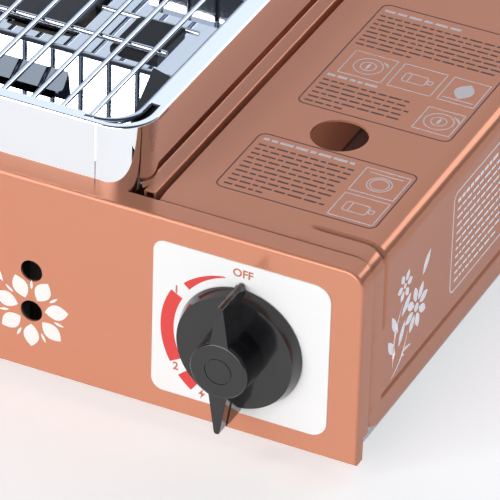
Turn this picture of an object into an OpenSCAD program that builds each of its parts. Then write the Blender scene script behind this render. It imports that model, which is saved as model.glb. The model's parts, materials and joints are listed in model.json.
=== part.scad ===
// Portable infrared gas grill with a gas cartridge bay on its right side.
// Origin: centre of the whole outline, on the ground. +X right, +Y back, +Z up.

/* [Casing] */
// Width of the casing
body_w = 396; // [380:1:430]
// Depth of the casing, front face to rear face
body_d = 280; // [270:1:310]
// Height of the front panel
panel_h = 88; // [86:1:96]
// Height of the feet below the casing
foot_h = 6; // [4:0.5:9]
// Thickness of the casing sheet
sheet = 1; // [0.8:0.1:1.2]
// Width of the flange round the top of the panels
flange_w = 10; // [9:0.5:11]
// Radius of the casing's upper corners
corner_r = 8; // [6:0.5:9]
// Height of the base pan's upturned edge
pan_edge_h = 20; // [14:1:24]
// Radius of the two vent holes in the front panel
vent_r = 4.7; // [3:0.1:6]
// Distance between the two vent holes
vent_pitch = 18.6; // [15:0.1:24]

/* [Cartridge bay] */
// Width from the divider to the right side
bay_w = 99; // [97:1:104]
// Width of the divider's folded top channel
channel_w = 5; // [4.5:0.1:6]
// Height of the channel's free leg
channel_leg = 5; // [4:0.5:7]
// Gap between the channel and the lid
lid_gap = 2.5; // [2:0.1:3.5]
// Gap between the lid and the panel flanges
lid_end_gap = 1.5; // [1:0.1:2]
// Depth of the lid's top below the panel flanges
lid_drop = 1; // [0.5:0.1:1.5]
// Distance of the lid's side behind the casing's side
lid_inset = 0.8; // [0.5:0.1:1.2]
// Height of the lid's lower edge above the panel's lower edge
lid_skirt_up = 7; // [5:0.5:10]
// Radius of the lid's long upper edge
lid_edge_r = 9; // [6:0.5:10]
// Width of the lid's end walls
lid_end_w = 10; // [9.5:0.5:12]
// Radius of the round window in the lid
window_r = 11.5; // [8:0.5:14]
// Radius of the round that presses the lid's grooves
groove_r = 2; // [1.6:0.1:2.4]
// Depth of the lid's grooves
groove_depth = 0.5; // [0.3:0.1:0.6]
// Radius of the hinge pins
hinge_pin_r = 1.5; // [1.2:0.1:1.7]
// Radius of the gas cartridge that the bay takes
cartridge_r = 34; // [32:0.5:35]
// Length of the gas cartridge that the bay takes
cartridge_l = 185; // [175:1:195]

/* [Wind skirt] */
// Height of the skirt
skirt_h = 28.8; // [20:0.2:36]
// Distance from the casing's edge to the skirt
skirt_margin = 6.6; // [5:0.2:8]
// Thickness of the skirt's sheet
skirt_t = 0.8; // [0.6:0.1:1]
// Radius of the skirt's corners
skirt_r = 16.5; // [14:0.5:20]
// Width of the skirt's rim at the front and back
rim_w = 5.6; // [5:0.1:6.4]
// Width of the skirt's rim at the sides
rim_side_w = 7.2; // [6.5:0.1:8]
// Width of the rim round the corners
rim_corner_w = 2.6; // [2:0.1:3.5]

/* [Net] */
// Number of bars
bar_count = 20; // [14:2:20]
// Distance between bars
bar_pitch = 12.7; // [11:0.1:12.9]
// Radius of a bar
bar_r = 1.1; // [0.9:0.05:1.4]
// Radius of the frame wire
loop_r = 1.4; // [1.2:0.05:1.8]
// Radius of the cross wires
cross_r = 1.2; // [1:0.05:1.5]
// Distance between the two cross wires
cross_pitch = 135; // [90:1:180]
// Depth of the bars' axes below the skirt's rim
bar_drop = 3.8; // [3.5:0.1:6]
// How deep the welds sink
weld = 0.3; // [0.2:0.05:0.4]

/* [Drip tray] */
// Thickness of the tray
tray_t = 1; // [0.8:0.1:1.2]
// Height of the tray's deck above the panel flanges
deck_up = 4; // [3:0.5:5]
// Height of the troughs' floor above the casing's floor
trough_z = 48; // [44:0.5:52]
// Depth of the flat deck, front to back
deck_d = 109.2; // [104:0.4:116]
// Radius of the tray's corners
tray_r = 14; // [10:0.5:15]
// Length of the deflector flap, along its slope
flap_l = 11.4; // [8:0.2:13]
// Width of the deflector flap
flap_w = 157; // [120:1:200]

/* [Burner] */
// Distance from the skirt's sides to the radiant plate
radiant_side = 74.5; // [70:0.5:80]
// Distance from the deck's front and back edges to the radiant plate
radiant_edge = 12.6; // [11:0.2:15]
// Thickness of the radiant plate
radiant_t = 1.2; // [1:0.1:1.5]
// Height of the burner box
burner_h = 24; // [22:0.5:26]
// Thickness of the ceramic tiles
tile_t = 9; // [8:0.5:9.5]
// Outer radius of the mixing tube
mix_r = 8; // [7:0.5:9]
// Radius of the gas pipe
pipe_r = 3; // [2.5:0.1:3.5]
// Bend radius of the gas pipe
pipe_bend = 8; // [7:0.5:9]
// Radius of the igniter lead
lead_r = 1.2; // [1:0.1:1.5]

/* [Control] */
// Distance from the casing's right side to the knob's axis
knob_side = 49.7; // [48:0.1:52]
// Height of the knob's axis above the panel's lower edge
knob_up = 40.5; // [38:0.1:44]
// How far the knob stands out from the panel
knob_reach = 20; // [18:0.1:24]
// Radius of the knob's disc
disc_r = 26.1; // [24:0.1:27]
// Thickness of the knob's disc
disc_t = 5.2; // [5:0.1:6]
// Radius of the knob's hub
hub_r = 12; // [10:0.1:13]
// Reach of the grip's points from the axis
grip_r = 29; // [27.5:0.1:29.5]
// Radius of the stem
stem_r = 3; // [2.5:0.1:3.2]
// Width of the dial plate
dial_w = 74.5; // [64:0.1:78]
// Height of the dial plate
dial_h = 68.6; // [62:0.1:72]
// Radius of the dial plate's left corners
dial_left_r = 5; // [3:0.5:8]
// Radius of the dial plate's right corners
dial_right_r = 10; // [5:0.5:12]
// Thickness of the dial plate
dial_t = 0.4; // [0.3:0.05:0.5]

/* [Fits] */
// Radial clearance of a turning fit
run_fit = 0.05; // [0.03:0.01:0.08]
// Radial clearance of a fixed fit
seat_fit = 0.02; // [0.01:0.01:0.04]
// Clearance between parts that lift apart
lift_gap = 1.5; // [1:0.1:2]

/* [Hidden] */
$fn = 64;

eps = 0.01;
screw_r = 1.5;
screw_head_r = 3.2;
screw_head_h = 1.6;
x_left = -body_w / 2;
x_right = body_w / 2;
y_front = (knob_reach - screw_head_h - body_d) / 2;
y_back = y_front + body_d;
z_low = foot_h;
z_top = foot_h + panel_h;
z_pan = z_low + sheet;
z_floor = z_pan + sheet;

divider_x = x_right - bay_w;
channel_x = divider_x + channel_w;
channel_front = y_front + flange_w + 4.7;
channel_back = y_back - flange_w - 3;

lid_x0 = channel_x + lid_gap;
lid_x1 = x_right - lid_inset;
lid_y0 = y_front + flange_w + lid_end_gap;
lid_y1 = y_back - flange_w - lid_end_gap;
lid_top = z_top - lid_drop;
lid_low = z_low + lid_skirt_up;
lid_fold = 6.5;
lid_low_r = 10;
hinge_x = lid_x0 + 4;
hinge_z = lid_top - 4.5;
hinge_boss_r = 2.5;
hinge_gap = 0.6;
pad_y = 60;
end_gap = 1;
bracket_y0 = lid_y0 + sheet + hinge_gap;
bracket_y1 = lid_y1 - sheet - hinge_gap;
groove_out = groove_r - groove_depth;
groove_y = y_front + 22.7;
groove_run = 27;
groove_end_z = z_low + 48.7;
side_groove_z = z_low + 17.8;
window_x = x_right - 50;
window_y = y_front + 85.3;
pan_side_x = x_right - 3.8;
pan_slot_y = 45;

skirt_x0 = x_left + skirt_margin;
skirt_x1 = divider_x + 1.6;
skirt_y0 = y_front + skirt_margin;
skirt_y1 = y_back - skirt_margin;
skirt_w = skirt_x1 - skirt_x0;
skirt_d = skirt_y1 - skirt_y0;
well_x = (skirt_x0 + skirt_x1) / 2;
well_y = (skirt_y0 + skirt_y1) / 2;
z_rim = z_top + skirt_h;
relief_x = 25;
relief_y = 31;

bar_z = z_rim - bar_drop;
loop_z = bar_z;
cross_z = bar_z - bar_r - cross_r + weld;
loop_w = skirt_w - 2 * (rim_side_w + loop_r + 0.8);
loop_d = skirt_d - 2 * (rim_w + loop_r + 0.9);
loop_corner = 14;
bar_l = loop_d - 2 * (loop_r - weld);
cross_l = (bar_count - 1) * bar_pitch + 8;

tray_x0 = x_left + flange_w + lift_gap;
tray_x1 = divider_x - lift_gap;
tray_y0 = y_front + flange_w + lift_gap;
tray_y1 = y_back - flange_w - lift_gap;
deck_z = z_top + deck_up;
deck_y0 = well_y - deck_d / 2;
deck_y1 = well_y + deck_d / 2;
trough_top = z_floor + trough_z;
slope_run = deck_z - trough_top;
tray_rim = 4;
slot_l = 25;
slot_w = 4;
slot_pitch = 28;
wall_slot_up = 40;
wall_slot_pitch = 36;
flap_slope = 15;
flap_root = 6.3;
flap_flare = 2.7;

radiant_l = skirt_w - 2 * radiant_side;
radiant_d = deck_d - 2 * radiant_edge;
box_margin = 2;
box_x0 = well_x - radiant_l / 2 + box_margin;
box_x1 = well_x + radiant_l / 2 - box_margin;
box_y0 = well_y - radiant_d / 2 + box_margin;
box_y1 = well_y + radiant_d / 2 - box_margin;
box_t = 1.5;
box_rim = 5;
box_drop = 12;
box_top = deck_z - box_drop;
box_low = box_top - burner_h;
tile_sink = 6;
tile_ledge = box_top - tile_sink;
radiant_up = 3;
radiant_top = deck_z + radiant_up;
radiant_leg = 10;
radiant_leg_inset = 20;
pipe_side = 19;
pipe_x = divider_x - pipe_side;
injector_l = 8;
injector_run = 5.9;
injector_x = pipe_x - pipe_bend - injector_run - injector_l;
injector_r = 5;
air_gap = 4;
mix_up = 10;
mix_z = box_low + mix_up;
mix_x1 = injector_x - air_gap;
mix_flare = 3;
mix_mouth_r = mix_r + mix_flare;
shield_up = 12;
shield_margin = 18;
shield_z = z_floor + shield_up;
shield_x0 = box_x0 - shield_margin;
shield_x1 = injector_x + shield_up;
shield_y0 = box_y0 - box_rim - mix_up;
shield_y1 = box_y1 + box_rim + mix_up;

knob_x = x_right - knob_side;
knob_z = z_low + knob_up;
knob_back = y_front - 1;
disc_face = knob_back - disc_t;
knob_face = y_front - knob_reach;
disc_face_r = disc_r - 1.7;
grip_hub_w = 7.6;
grip_tip_w = 2.2;
recess_r = 22;
recess_face = knob_back - 3.7;
nose_r = 5;
nose_y = y_front - 3.5;
nut_r = 7.5;
nut_t = 2.6;
stem_end = y_front + 20;
stem_tip = knob_face + 3.5;
bulk_y = y_front + 42;
seat_z = z_floor + cartridge_r + 8;
seat_r = 20;
seat_t = 8;
spigot_r = 6;
valve_w = 30;
valve_y = y_front + 7;
valve_low = knob_z - 15;
valve_high = knob_z + 17;
pin_r = 1.25;
pin_y = stem_end + 0.8;
pin_l = 11;
pin_travel = 1.5;
cap_r = 17;
cap_y = y_front + 24;
outlet_y = y_front + 25;
outlet_z = knob_z - 6.5;
piezo_w = 16;
lead_y = outlet_y + 6;
lead_z = z_floor + 16;
lead_x = injector_x + 14.5;
lead_bend = 6;
spark_y = box_y0 + 12;
spark_z = box_top + 5;
spark_x = box_x1 + box_rim + 8;
cover_x0 = well_x + radiant_l / 2 + 18;
cover_l = 21;
cover_y0 = deck_y0 + 7.6;
cover_d = 24.5;
cover_h = 3;
ridge_x0 = cover_x0 - 2;
ridge_h = 9;

copper = [0.82, 0.57, 0.46];
chrome = [0.88, 0.91, 0.94];
galvanised = [0.68, 0.7, 0.71];
dark_steel = [0.27, 0.27, 0.28];
black = [0.1, 0.1, 0.11];
brass = [0.8, 0.65, 0.35];
cast = [0.62, 0.63, 0.64];

// A block between two corners
module block(a, b) {
  translate(a) cube(b - a);
}

// A round rod along one axis, from its start point
module rod_x(r, at, l) {
  translate(at) rotate([0, 90, 0]) cylinder(r = r, h = l);
}
module rod_y(r, at, l) {
  translate(at) rotate([-90, 0, 0]) cylinder(r = r, h = l);
}
module rod_z(r, at, l) {
  translate(at) cylinder(r = r, h = l);
}

// An outline in X and Z, extruded along Y
module prism_y(y0, y1) {
  translate([0, y1, 0]) rotate([90, 0, 0]) linear_extrude(y1 - y0) children();
}
// An outline in Y and Z, extruded along X
module prism_x(x0, x1) {
  translate([x0, 0, 0]) rotate([90, 0, 90]) linear_extrude(x1 - x0) children();
}

// A flat rectangle with four round corners, between two corners
module round_rect(a, b, r) {
  translate([a[0] + r, a[1]]) square([b[0] - a[0] - 2 * r, b[1] - a[1]]);
  translate([a[0], a[1] + r]) square([b[0] - a[0], b[1] - a[1] - 2 * r]);
  for (x = [a[0] + r, b[0] - r], y = [a[1] + r, b[1] - r]) translate([x, y]) circle(r);
}
// A flat rectangle whose two upper corners are round
module arch(a, b, r) {
  translate([a[0] + r, a[1]]) square([b[0] - a[0] - 2 * r, b[1] - a[1]]);
  translate(a) square([b[0] - a[0], b[1] - a[1] - r]);
  for (x = [a[0] + r, b[0] - r]) translate([x, b[1] - r]) circle(r);
}
// The casing's outline, seen from the front, drawn in by an inset
module casing_outline(inset) {
  arch([x_left + inset, z_low + inset], [x_right - inset, z_top - inset], corner_r - inset);
}

// A folded end panel: a face with a flange all round
module end_panel(face_y, back_y) {
  low = min(face_y, back_y);
  high = max(face_y, back_y);
  step = face_y < back_y ? 1 : -1;
  difference() {
    prism_y(low, high) casing_outline(0);
    prism_y(min(face_y + step * sheet, back_y + step), max(face_y + step * sheet, back_y + step))
      casing_outline(sheet);
    // The right flange ends in a step at its foot
    block([x_right - 2 * sheet, min(face_y + step * 6, back_y + step), z_low - 1],
      [x_right + 1, max(face_y + step * 6, back_y + step), z_low + 10]);
  }
}

module front_panel() {
  color(copper) difference() {
    end_panel(y_front, y_front + flange_w);
    rod_y(nose_r + 0.3, [knob_x, y_front - 1, knob_z], sheet + 2);
    for (z = [0, vent_pitch])
      rod_y(vent_r, [x_right - 139.6, y_front - 1, z_low + 27.5 + z], sheet + 2);
  }
}

module rear_panel() {
  slot_count = 7;
  color(copper) difference() {
    end_panel(y_back, y_back - flange_w);
    for (i = [0 : slot_count - 1]) {
      x = well_x + (i - (slot_count - 1) / 2) * 36;
      translate([x, y_back, z_low + 62]) prism_y(-sheet - 1, 1)
        round_rect([-13, -2.5], [13, 2.5], 2.4);
    }
    for (x = [x_left + 22, x_right - 22], z = [z_low + 16, z_top - 20])
      rod_y(screw_r, [x, y_back - sheet - 1, z], sheet + 2);
  }
}

module left_side() {
  color(copper) intersection() {
    prism_y(y_front + flange_w, y_back - flange_w) difference() {
      casing_outline(0);
      casing_outline(sheet);
    }
    block([x_left - 1, y_front, 0], [x_left + flange_w, y_back, z_top + 1]);
  }
}

foot_inset = [26, 24];
foot_places = [for (x = [x_left + foot_inset[0], x_right - foot_inset[0]],
  y = [y_front + foot_inset[1], y_back - foot_inset[1]]) [x, y]];
foot_r = 9;
foot_stem_r = 2.5;
base_screw_places = [for (x = [shield_x0 + 12, well_x, shield_x1 - 12],
  y = [shield_y0 + 8, shield_y1 - 8]) [x, y]];

module base_pan() {
  y0 = y_front + sheet;
  y1 = y_back - sheet;
  x0 = x_left + sheet;
  color(galvanised) difference() {
    union() {
      block([x0, y0, z_pan], [pan_side_x, y1, z_floor]);
      block([pan_side_x - sheet, lid_y0 + sheet + end_gap, z_pan],
        [pan_side_x, lid_y1 - sheet - end_gap, z_pan + pan_edge_h]);
      block([x0, y0, z_pan], [pan_side_x, y0 + sheet, z_pan + 8]);
      block([x0, y1 - sheet, z_pan], [pan_side_x, y1, z_pan + 8]);
    }
    for (p = foot_places) rod_z(foot_stem_r + 0.05, [p[0], p[1], z_pan - 1], sheet + 2);
    for (p = base_screw_places) rod_z(screw_r, [p[0], p[1], z_pan - 1], sheet + 2);
    for (i = [0 : 5], y = [y_front + pan_slot_y, y_back - pan_slot_y])
      translate([divider_x + 18 + i * 13, y, z_pan - 1]) linear_extrude(sheet + 2)
        round_rect([-2.5, -12], [2.5, 12], 2.4);
  }
}

module feet() {
  color(black) for (p = foot_places) translate([p[0], p[1], 0]) difference() {
    union() {
      cylinder(r1 = foot_r - 1.5, r2 = foot_r, h = 3);
      rod_z(foot_r, [0, 0, 3], z_pan - 3);
      rod_z(foot_stem_r, [0, 0, z_pan], sheet);
      translate([0, 0, z_floor]) cylinder(r1 = foot_stem_r + 1.2, r2 = foot_stem_r - 0.6, h = 3);
    }
    rod_z(3.5, [0, 0, -1], 2.5);
  }
}

// A domed screw with its shank, head down at its origin
module screw(l) {
  translate([0, 0, 0]) intersection() {
    translate([0, 0, -screw_head_h]) cylinder(r = screw_head_r, h = screw_head_h);
    translate([0, 0, 3.1]) sphere(r = 4.8);
  }
  cylinder(r = screw_r, h = l);
}

module base_screws() {
  color(galvanised) for (p = base_screw_places) translate([p[0], p[1], z_pan]) difference() {
    screw(2 * sheet + 2);
    for (a = [0, 90]) rotate([0, 0, a]) block([-2, -0.4, -screw_head_h - 1], [2, 0.4, -screw_head_h + 0.5]);
  }
}

module rear_screws() {
  color(galvanised) for (x = [x_left + 22, x_right - 22], z = [z_low + 16, z_top - 20])
    translate([x, y_back, z]) rotate([90, 0, 0]) difference() {
      screw(5);
      for (a = [0, 90]) rotate([0, 0, a])
        block([-2, -0.4, -screw_head_h - 1], [2, 0.4, -screw_head_h + 0.5]);
    }
}

// The wall between the burner and the cartridge bay, with an open channel along its top
module divider() {
  color(copper) difference() {
    union() {
      block([divider_x, channel_front, z_floor], [divider_x + sheet, channel_back, z_top]);
      block([divider_x, channel_front, z_top - sheet], [channel_x, channel_back, z_top]);
      block([channel_x - sheet, channel_front, z_top - channel_leg], [channel_x, channel_back, z_top]);
      block([divider_x - 8, channel_front, z_floor], [divider_x, channel_back, z_floor + sheet]);
    }
    rod_x(pipe_r + 1, [divider_x - 1, outlet_y, outlet_z], sheet + 2);
    rod_x(lead_r + 1, [divider_x - 1, lead_y, lead_z], sheet + 2);
    for (i = [0 : 4]) translate([divider_x, bulk_y + 30 + i * wall_slot_pitch, z_floor + wall_slot_up])
      prism_x(-1, sheet + 1) round_rect([-12, -2.5], [12, 2.5], 2.4);
  }
}

module bay_bulkhead() {
  color(galvanised) difference() {
    union() {
      block([channel_x + 1, bulk_y, z_floor], [pan_side_x - sheet, bulk_y + sheet, z_top - 12]);
      block([channel_x + 1, bulk_y, z_floor], [pan_side_x - sheet, bulk_y + 9, z_floor + sheet]);
    }
    rod_y(spigot_r + 3, [knob_x, bulk_y - 1, seat_z], sheet + 2);
  }
}

// Two round saddles on a floor strip carry the cartridge
module cartridge_cradle() {
  saddle_y = [bulk_y + seat_t + 30, bulk_y + seat_t + cartridge_l - 30];
  half = 30;
  color(galvanised) {
    block([knob_x - half, saddle_y[0] - 6, z_floor], [knob_x + half, saddle_y[1] + 6, z_floor + sheet]);
    for (y = saddle_y) difference() {
      block([knob_x - half, y, z_floor], [knob_x + half, y + sheet, seat_z - 18]);
      rod_y(cartridge_r + 0.6, [knob_x, y - 1, seat_z], sheet + 2);
    }
  }
}

// The posts that hold the lid's hinge pins
module hinge_bracket(y0) {
  difference() {
    union() {
      rod_y(hinge_boss_r, [hinge_x, y0, hinge_z], sheet);
      block([hinge_x, y0, z_floor], [hinge_x + 12, y0 + sheet, hinge_z + hinge_boss_r]);
    }
    rod_y(hinge_pin_r, [hinge_x, y0 - 1, hinge_z], sheet + 2);
  }
}
module hinge_brackets() {
  color(galvanised) {
    hinge_bracket(bracket_y0);
    block([hinge_x, bracket_y0, z_floor], [hinge_x + 12, bracket_y0 + 10, z_floor + sheet]);
    hinge_bracket(bracket_y1 - sheet);
    block([hinge_x, bracket_y1 - 10, z_floor], [hinge_x + 12, bracket_y1, z_floor + sheet]);
  }
}

module hinge_pins() {
  pin = sheet * 2 + hinge_gap + 0.6;
  color(galvanised) {
    rod_y(hinge_pin_r, [hinge_x, lid_y0 - 0.6, hinge_z], pin);
    rod_y(hinge_pin_r + 0.8, [hinge_x, bracket_y0 + sheet, hinge_z], 1);
    rod_y(hinge_pin_r, [hinge_x, lid_y1 + 0.6 - pin, hinge_z], pin);
    rod_y(hinge_pin_r + 0.8, [hinge_x, bracket_y1 - sheet - 1, hinge_z], 1);
  }
}

// The lid's outline, seen from the front, drawn in by an inset
module lid_outline(inset) {
  r = lid_edge_r - min(inset, lid_edge_r - 1);
  x0 = lid_x0 - (inset > 0 ? 1 : 0);
  z0 = lid_low - (inset > 0 ? 1 : 0);
  x1 = lid_x1 - inset;
  z1 = lid_top - inset;
  translate([x0, z0]) square([x1 - r - x0, z1 - z0]);
  translate([x0, z0]) square([x1 - x0, z1 - r - z0]);
  translate([x1 - r, z1 - r]) circle(r);
}
module lid_groove() {
  across = lid_edge_r + groove_out;
  corner_x = lid_x1 - lid_edge_r;
  corner_z = lid_top - lid_edge_r;
  rod_x(groove_r, [corner_x - groove_run, groove_y, lid_top + groove_out], groove_run);
  translate([corner_x, groove_y, corner_z]) rotate([90, 0, 0]) rotate_extrude(angle = 90)
    translate([across, 0]) circle(groove_r);
  rod_z(groove_r, [lid_x1 + groove_out, groove_y, groove_end_z], corner_z - groove_end_z);
  translate([lid_x1 + groove_out, groove_y, groove_end_z]) sphere(r = groove_r);
  translate([corner_x - groove_run, groove_y, lid_top + groove_out]) sphere(r = groove_r);
}
module lid() {
  notch = sheet + hinge_gap + sheet + 3;
  color(copper) difference() {
    intersection() {
      union() {
        prism_y(lid_y0, lid_y1) difference() {
          lid_outline(0);
          lid_outline(sheet);
        }
        for (y = [lid_y0, lid_y1 - sheet]) prism_y(y, y + sheet) difference() {
          lid_outline(0);
          lid_outline(lid_end_w);
        }
        block([lid_x0, lid_y0 + notch, lid_top - lid_fold], [lid_x0 + sheet, lid_y1 - notch, lid_top]);
      }
      prism_x(lid_x0 - 1, lid_x1 + 2) difference() {
        translate([lid_y0, lid_low]) square([lid_y1 - lid_y0, lid_top - lid_low + 2]);
        for (s = [0, 1]) translate([s ? lid_y1 : lid_y0, 0]) mirror([s, 0]) difference() {
          translate([-1, lid_low - 1]) square([lid_low_r + 1, lid_low_r + 1]);
          translate([lid_low_r, lid_low + lid_low_r]) circle(lid_low_r);
        }
      }
    }
    for (y = [lid_y0, lid_y1 - sheet]) rod_y(hinge_pin_r + run_fit, [hinge_x, y - 1, hinge_z], sheet + 2);
    rod_z(window_r, [window_x, window_y, lid_top - sheet - 1], sheet + 3);
    lid_groove();
    translate([0, lid_y0 + lid_y1, 0]) mirror([0, 1, 0]) lid_groove();
    rod_y(groove_r, [lid_x1 + groove_out, groove_y - 2, side_groove_z], lid_y1 + lid_y0 - 2 * groove_y + 4);
  }
}

// Rubber pads on the base pan's edge, where the lid's side comes to rest
module lid_bumpers() {
  color(black) for (y = [y_front + pad_y, y_back - pad_y])
    block([pan_side_x, y - 6, z_pan + 8], [lid_x1 - sheet, y + 6, z_pan + 14]);
}

dial_x = x_right - 50.05;
dial_z = z_low + 43.6;
module dial_plate() {
  color("white") prism_y(y_front - dial_t, y_front) difference() {
    union() {
      round_rect([dial_x - dial_w / 2, dial_z - dial_h / 2], [dial_x + 5, dial_z + dial_h / 2], dial_left_r);
      round_rect([dial_x - 15, dial_z - dial_h / 2], [dial_x + dial_w / 2, dial_z + dial_h / 2], dial_right_r);
    }
    translate([knob_x, knob_z]) circle(nut_r + 1);
  }
}

module valve_body() {
  half = valve_w / 2;
  color(cast) difference() {
    union() {
      block([knob_x - half, valve_y, valve_low], [knob_x + half, bulk_y, valve_high]);
      rod_y(nose_r + 4, [knob_x, y_front + sheet, knob_z], valve_y - y_front - sheet);
      rod_y(nose_r, [knob_x, nose_y, knob_z], y_front - nose_y + sheet);
      rod_y(spigot_r, [knob_x, bulk_y, seat_z], seat_t);
      rod_x(cap_r, [knob_x + half, cap_y, knob_z + 1], 7);
      rod_x(pipe_r + 2, [knob_x - half - 7, outlet_y, outlet_z], 7);
    }
    rod_y(stem_r + run_fit, [knob_x, nose_y - 1, knob_z], stem_end + 0.5 - nose_y + 1);
    rod_y(pin_r + run_fit, [knob_x, stem_end, knob_z], pin_l + pin_travel + 2);
    rod_x(pipe_r + seat_fit, [knob_x - half - 8, outlet_y, outlet_z], 6);
    rod_y(2, [knob_x, bulk_y - 6, seat_z], seat_t + 7);
  }
}

cap_screw_places = [for (a = [30, 150, 270]) [cos(a), sin(a)] * (cap_r - 4)];
module regulator_cap() {
  x = knob_x + valve_w / 2 + 7;
  color(cast) difference() {
    union() {
      rod_x(cap_r, [x, cap_y, knob_z + 1], 2);
      translate([x + 2, cap_y, knob_z + 1]) rotate([0, 90, 0]) cylinder(r1 = 9, r2 = 7, h = 5);
    }
    for (p = cap_screw_places) rod_x(screw_r, [x - 1, cap_y + p[0], knob_z + 1 + p[1]], 4);
  }
}
module regulator_screws() {
  x = knob_x + valve_w / 2 + 9;
  color(galvanised) for (p = cap_screw_places) translate([x, cap_y + p[0], knob_z + 1 + p[1]]) {
    rod_x(screw_r, [-2, 0, 0], 2);
    rod_x(2.6, [0, 0, 0], 1.4);
  }
}

module panel_nut() {
  color(brass) difference() {
    rod_y(nut_r, [knob_x, y_front - nut_t, knob_z], nut_t, $fn = 6);
    rod_y(nose_r + seat_fit, [knob_x, y_front - nut_t - 1, knob_z], nut_t + 2, $fn = 64);
  }
}

module valve_stem() {
  color(brass) difference() {
    rod_y(stem_r, [knob_x, stem_tip, knob_z], stem_end - stem_tip);
    block([knob_x - stem_r, stem_tip - 1, knob_z + stem_r - 0.8],
      [knob_x + stem_r, recess_face, knob_z + stem_r + 1]);
  }
}

// The grip's outline, seen from the front: a blade with two points through the axis
module grip_outline() {
  for (s = [1, -1]) polygon([[-grip_hub_w / 2, 0], [grip_hub_w / 2, 0], [grip_hub_w / 2, s * (hub_r - 1)],
    [grip_tip_w / 2, s * (grip_r - grip_tip_w / 2)], [-grip_tip_w / 2, s * (grip_r - grip_tip_w / 2)],
    [-grip_hub_w / 2, s * (hub_r - 1)]]);
  for (s = [1, -1]) translate([0, s * (grip_r - grip_tip_w / 2)]) circle(grip_tip_w / 2);
}
module knob() {
  color(black) difference() {
    union() {
      translate([knob_x, knob_back, knob_z]) rotate([90, 0, 0])
        cylinder(r1 = disc_r, r2 = disc_face_r, h = disc_t);
      rod_y(hub_r, [knob_x, knob_face, knob_z], disc_face - knob_face);
      translate([knob_x, 0, knob_z]) prism_y(knob_face, knob_back) grip_outline();
    }
    rod_y(recess_r, [knob_x, recess_face, knob_z], knob_back - recess_face + 1);
    difference() {
      rod_y(stem_r + seat_fit, [knob_x, stem_tip, knob_z], recess_face - stem_tip + 1);
      block([knob_x - stem_r, stem_tip - 1, knob_z + stem_r - 0.78],
        [knob_x + stem_r, recess_face, knob_z + stem_r + 1]);
    }
    difference() {
      rod_y(5.7, [knob_x, knob_face - 1, knob_z], 1.4);
      rod_y(5.2, [knob_x, knob_face - 2, knob_z], 3);
    }
  }
}

// The small pin that the turning stem pushes back to open the gas way
module valve_pin() {
  color(brass) rod_y(pin_r, [knob_x, pin_y, knob_z], pin_l - 0.8);
}

magnet_r = 4;
magnet_t = 3;
magnet_places = [for (s = [-1, 1]) s * (seat_r - magnet_r - 2)];
module cartridge_seat() {
  color(dark_steel) difference() {
    rod_y(seat_r, [knob_x, bulk_y + sheet, seat_z], seat_t - sheet);
    rod_y(spigot_r + 3, [knob_x, bulk_y, seat_z], seat_t + 1);
    for (dx = magnet_places) rod_y(magnet_r, [knob_x + dx, bulk_y + seat_t - magnet_t, seat_z], magnet_t + 1);
    block([knob_x - 3, bulk_y, seat_z + 10], [knob_x + 3, bulk_y + seat_t + 1, seat_z + seat_r + 1]);
  }
}
module seat_magnets() {
  color(cast) for (dx = magnet_places)
    rod_y(magnet_r, [knob_x + dx, bulk_y + seat_t - magnet_t, seat_z], magnet_t);
}

module piezo_igniter() {
  half = piezo_w / 2;
  color(dark_steel) {
    block([knob_x - half, valve_y + 2, valve_low - piezo_w], [knob_x + half, bulk_y - 4, valve_low]);
    rod_x(2.5, [knob_x - half - 4, lead_y, lead_z], 4);
  }
}

// A quarter bend of a round bar about a centre, turned into place
module quarter(at, turn, r, bend) {
  translate(at) rotate(turn) rotate_extrude(angle = 90) translate([bend, 0]) circle(r);
}

module igniter_lead() {
  r = lead_r;
  b = lead_bend;
  start = knob_x - piezo_w / 2 - 4;
  color("darkred") {
    rod_x(r, [lead_x + b, lead_y, lead_z], start - lead_x - b, $fn = 24);
    quarter([lead_x + b, lead_y + b, lead_z], [0, 0, 180], r, b, $fn = 24);
    rod_y(r, [lead_x, lead_y + b, lead_z], spark_y - lead_y - 2 * b, $fn = 24);
    quarter([lead_x, spark_y - b, lead_z + b], [0, 90, 0], r, b, $fn = 24);
    rod_z(r, [lead_x, spark_y, lead_z + b], spark_z - lead_z - 2 * b, $fn = 24);
    quarter([lead_x - b, spark_y, spark_z - b], [90, 0, 0], r, b, $fn = 24);
    rod_x(r, [spark_x + 22, spark_y, spark_z], lead_x - b - spark_x - 22, $fn = 24);
  }
}

module electrode_ceramic() {
  color("white") difference() {
    union() {
      rod_x(2.6, [spark_x, spark_y, spark_z], 22);
      rod_x(3.6, [spark_x + 9, spark_y, spark_z], 5);
      block([spark_x + 10, spark_y - 3, box_top], [spark_x + 13, spark_y + 3, spark_z - 2]);
    }
    rod_x(0.9 + seat_fit, [spark_x - 1, spark_y, spark_z], 12);
  }
}

module electrode_tip() {
  color(cast) {
    rod_x(0.9, [box_x1 - 2, spark_y, spark_z], spark_x + 10 - box_x1 + 2);
    rod_z(0.9, [box_x1 - 2, spark_y, spark_z - 1.6], 1.6);
  }
}

module pipe_run(r) {
  b = pipe_bend;
  start = knob_x - valve_w / 2 - 2;
  rod_x(r, [pipe_x + b, outlet_y, outlet_z], start - pipe_x - b);
  quarter([pipe_x + b, outlet_y + b, outlet_z], [0, 0, 180], r, b);
  rod_y(r, [pipe_x, outlet_y + b, outlet_z], well_y - outlet_y - 2 * b);
  quarter([pipe_x, well_y - b, outlet_z + b], [0, 90, 0], r, b);
  rod_z(r, [pipe_x, well_y, outlet_z + b], mix_z - outlet_z - 2 * b);
  quarter([pipe_x - b, well_y, mix_z - b], [90, 0, 0], r, b);
  rod_x(r, [injector_x + injector_l, well_y, mix_z], injector_run);
}
module gas_pipe() {
  color(cast) pipe_run(pipe_r);
}

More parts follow.
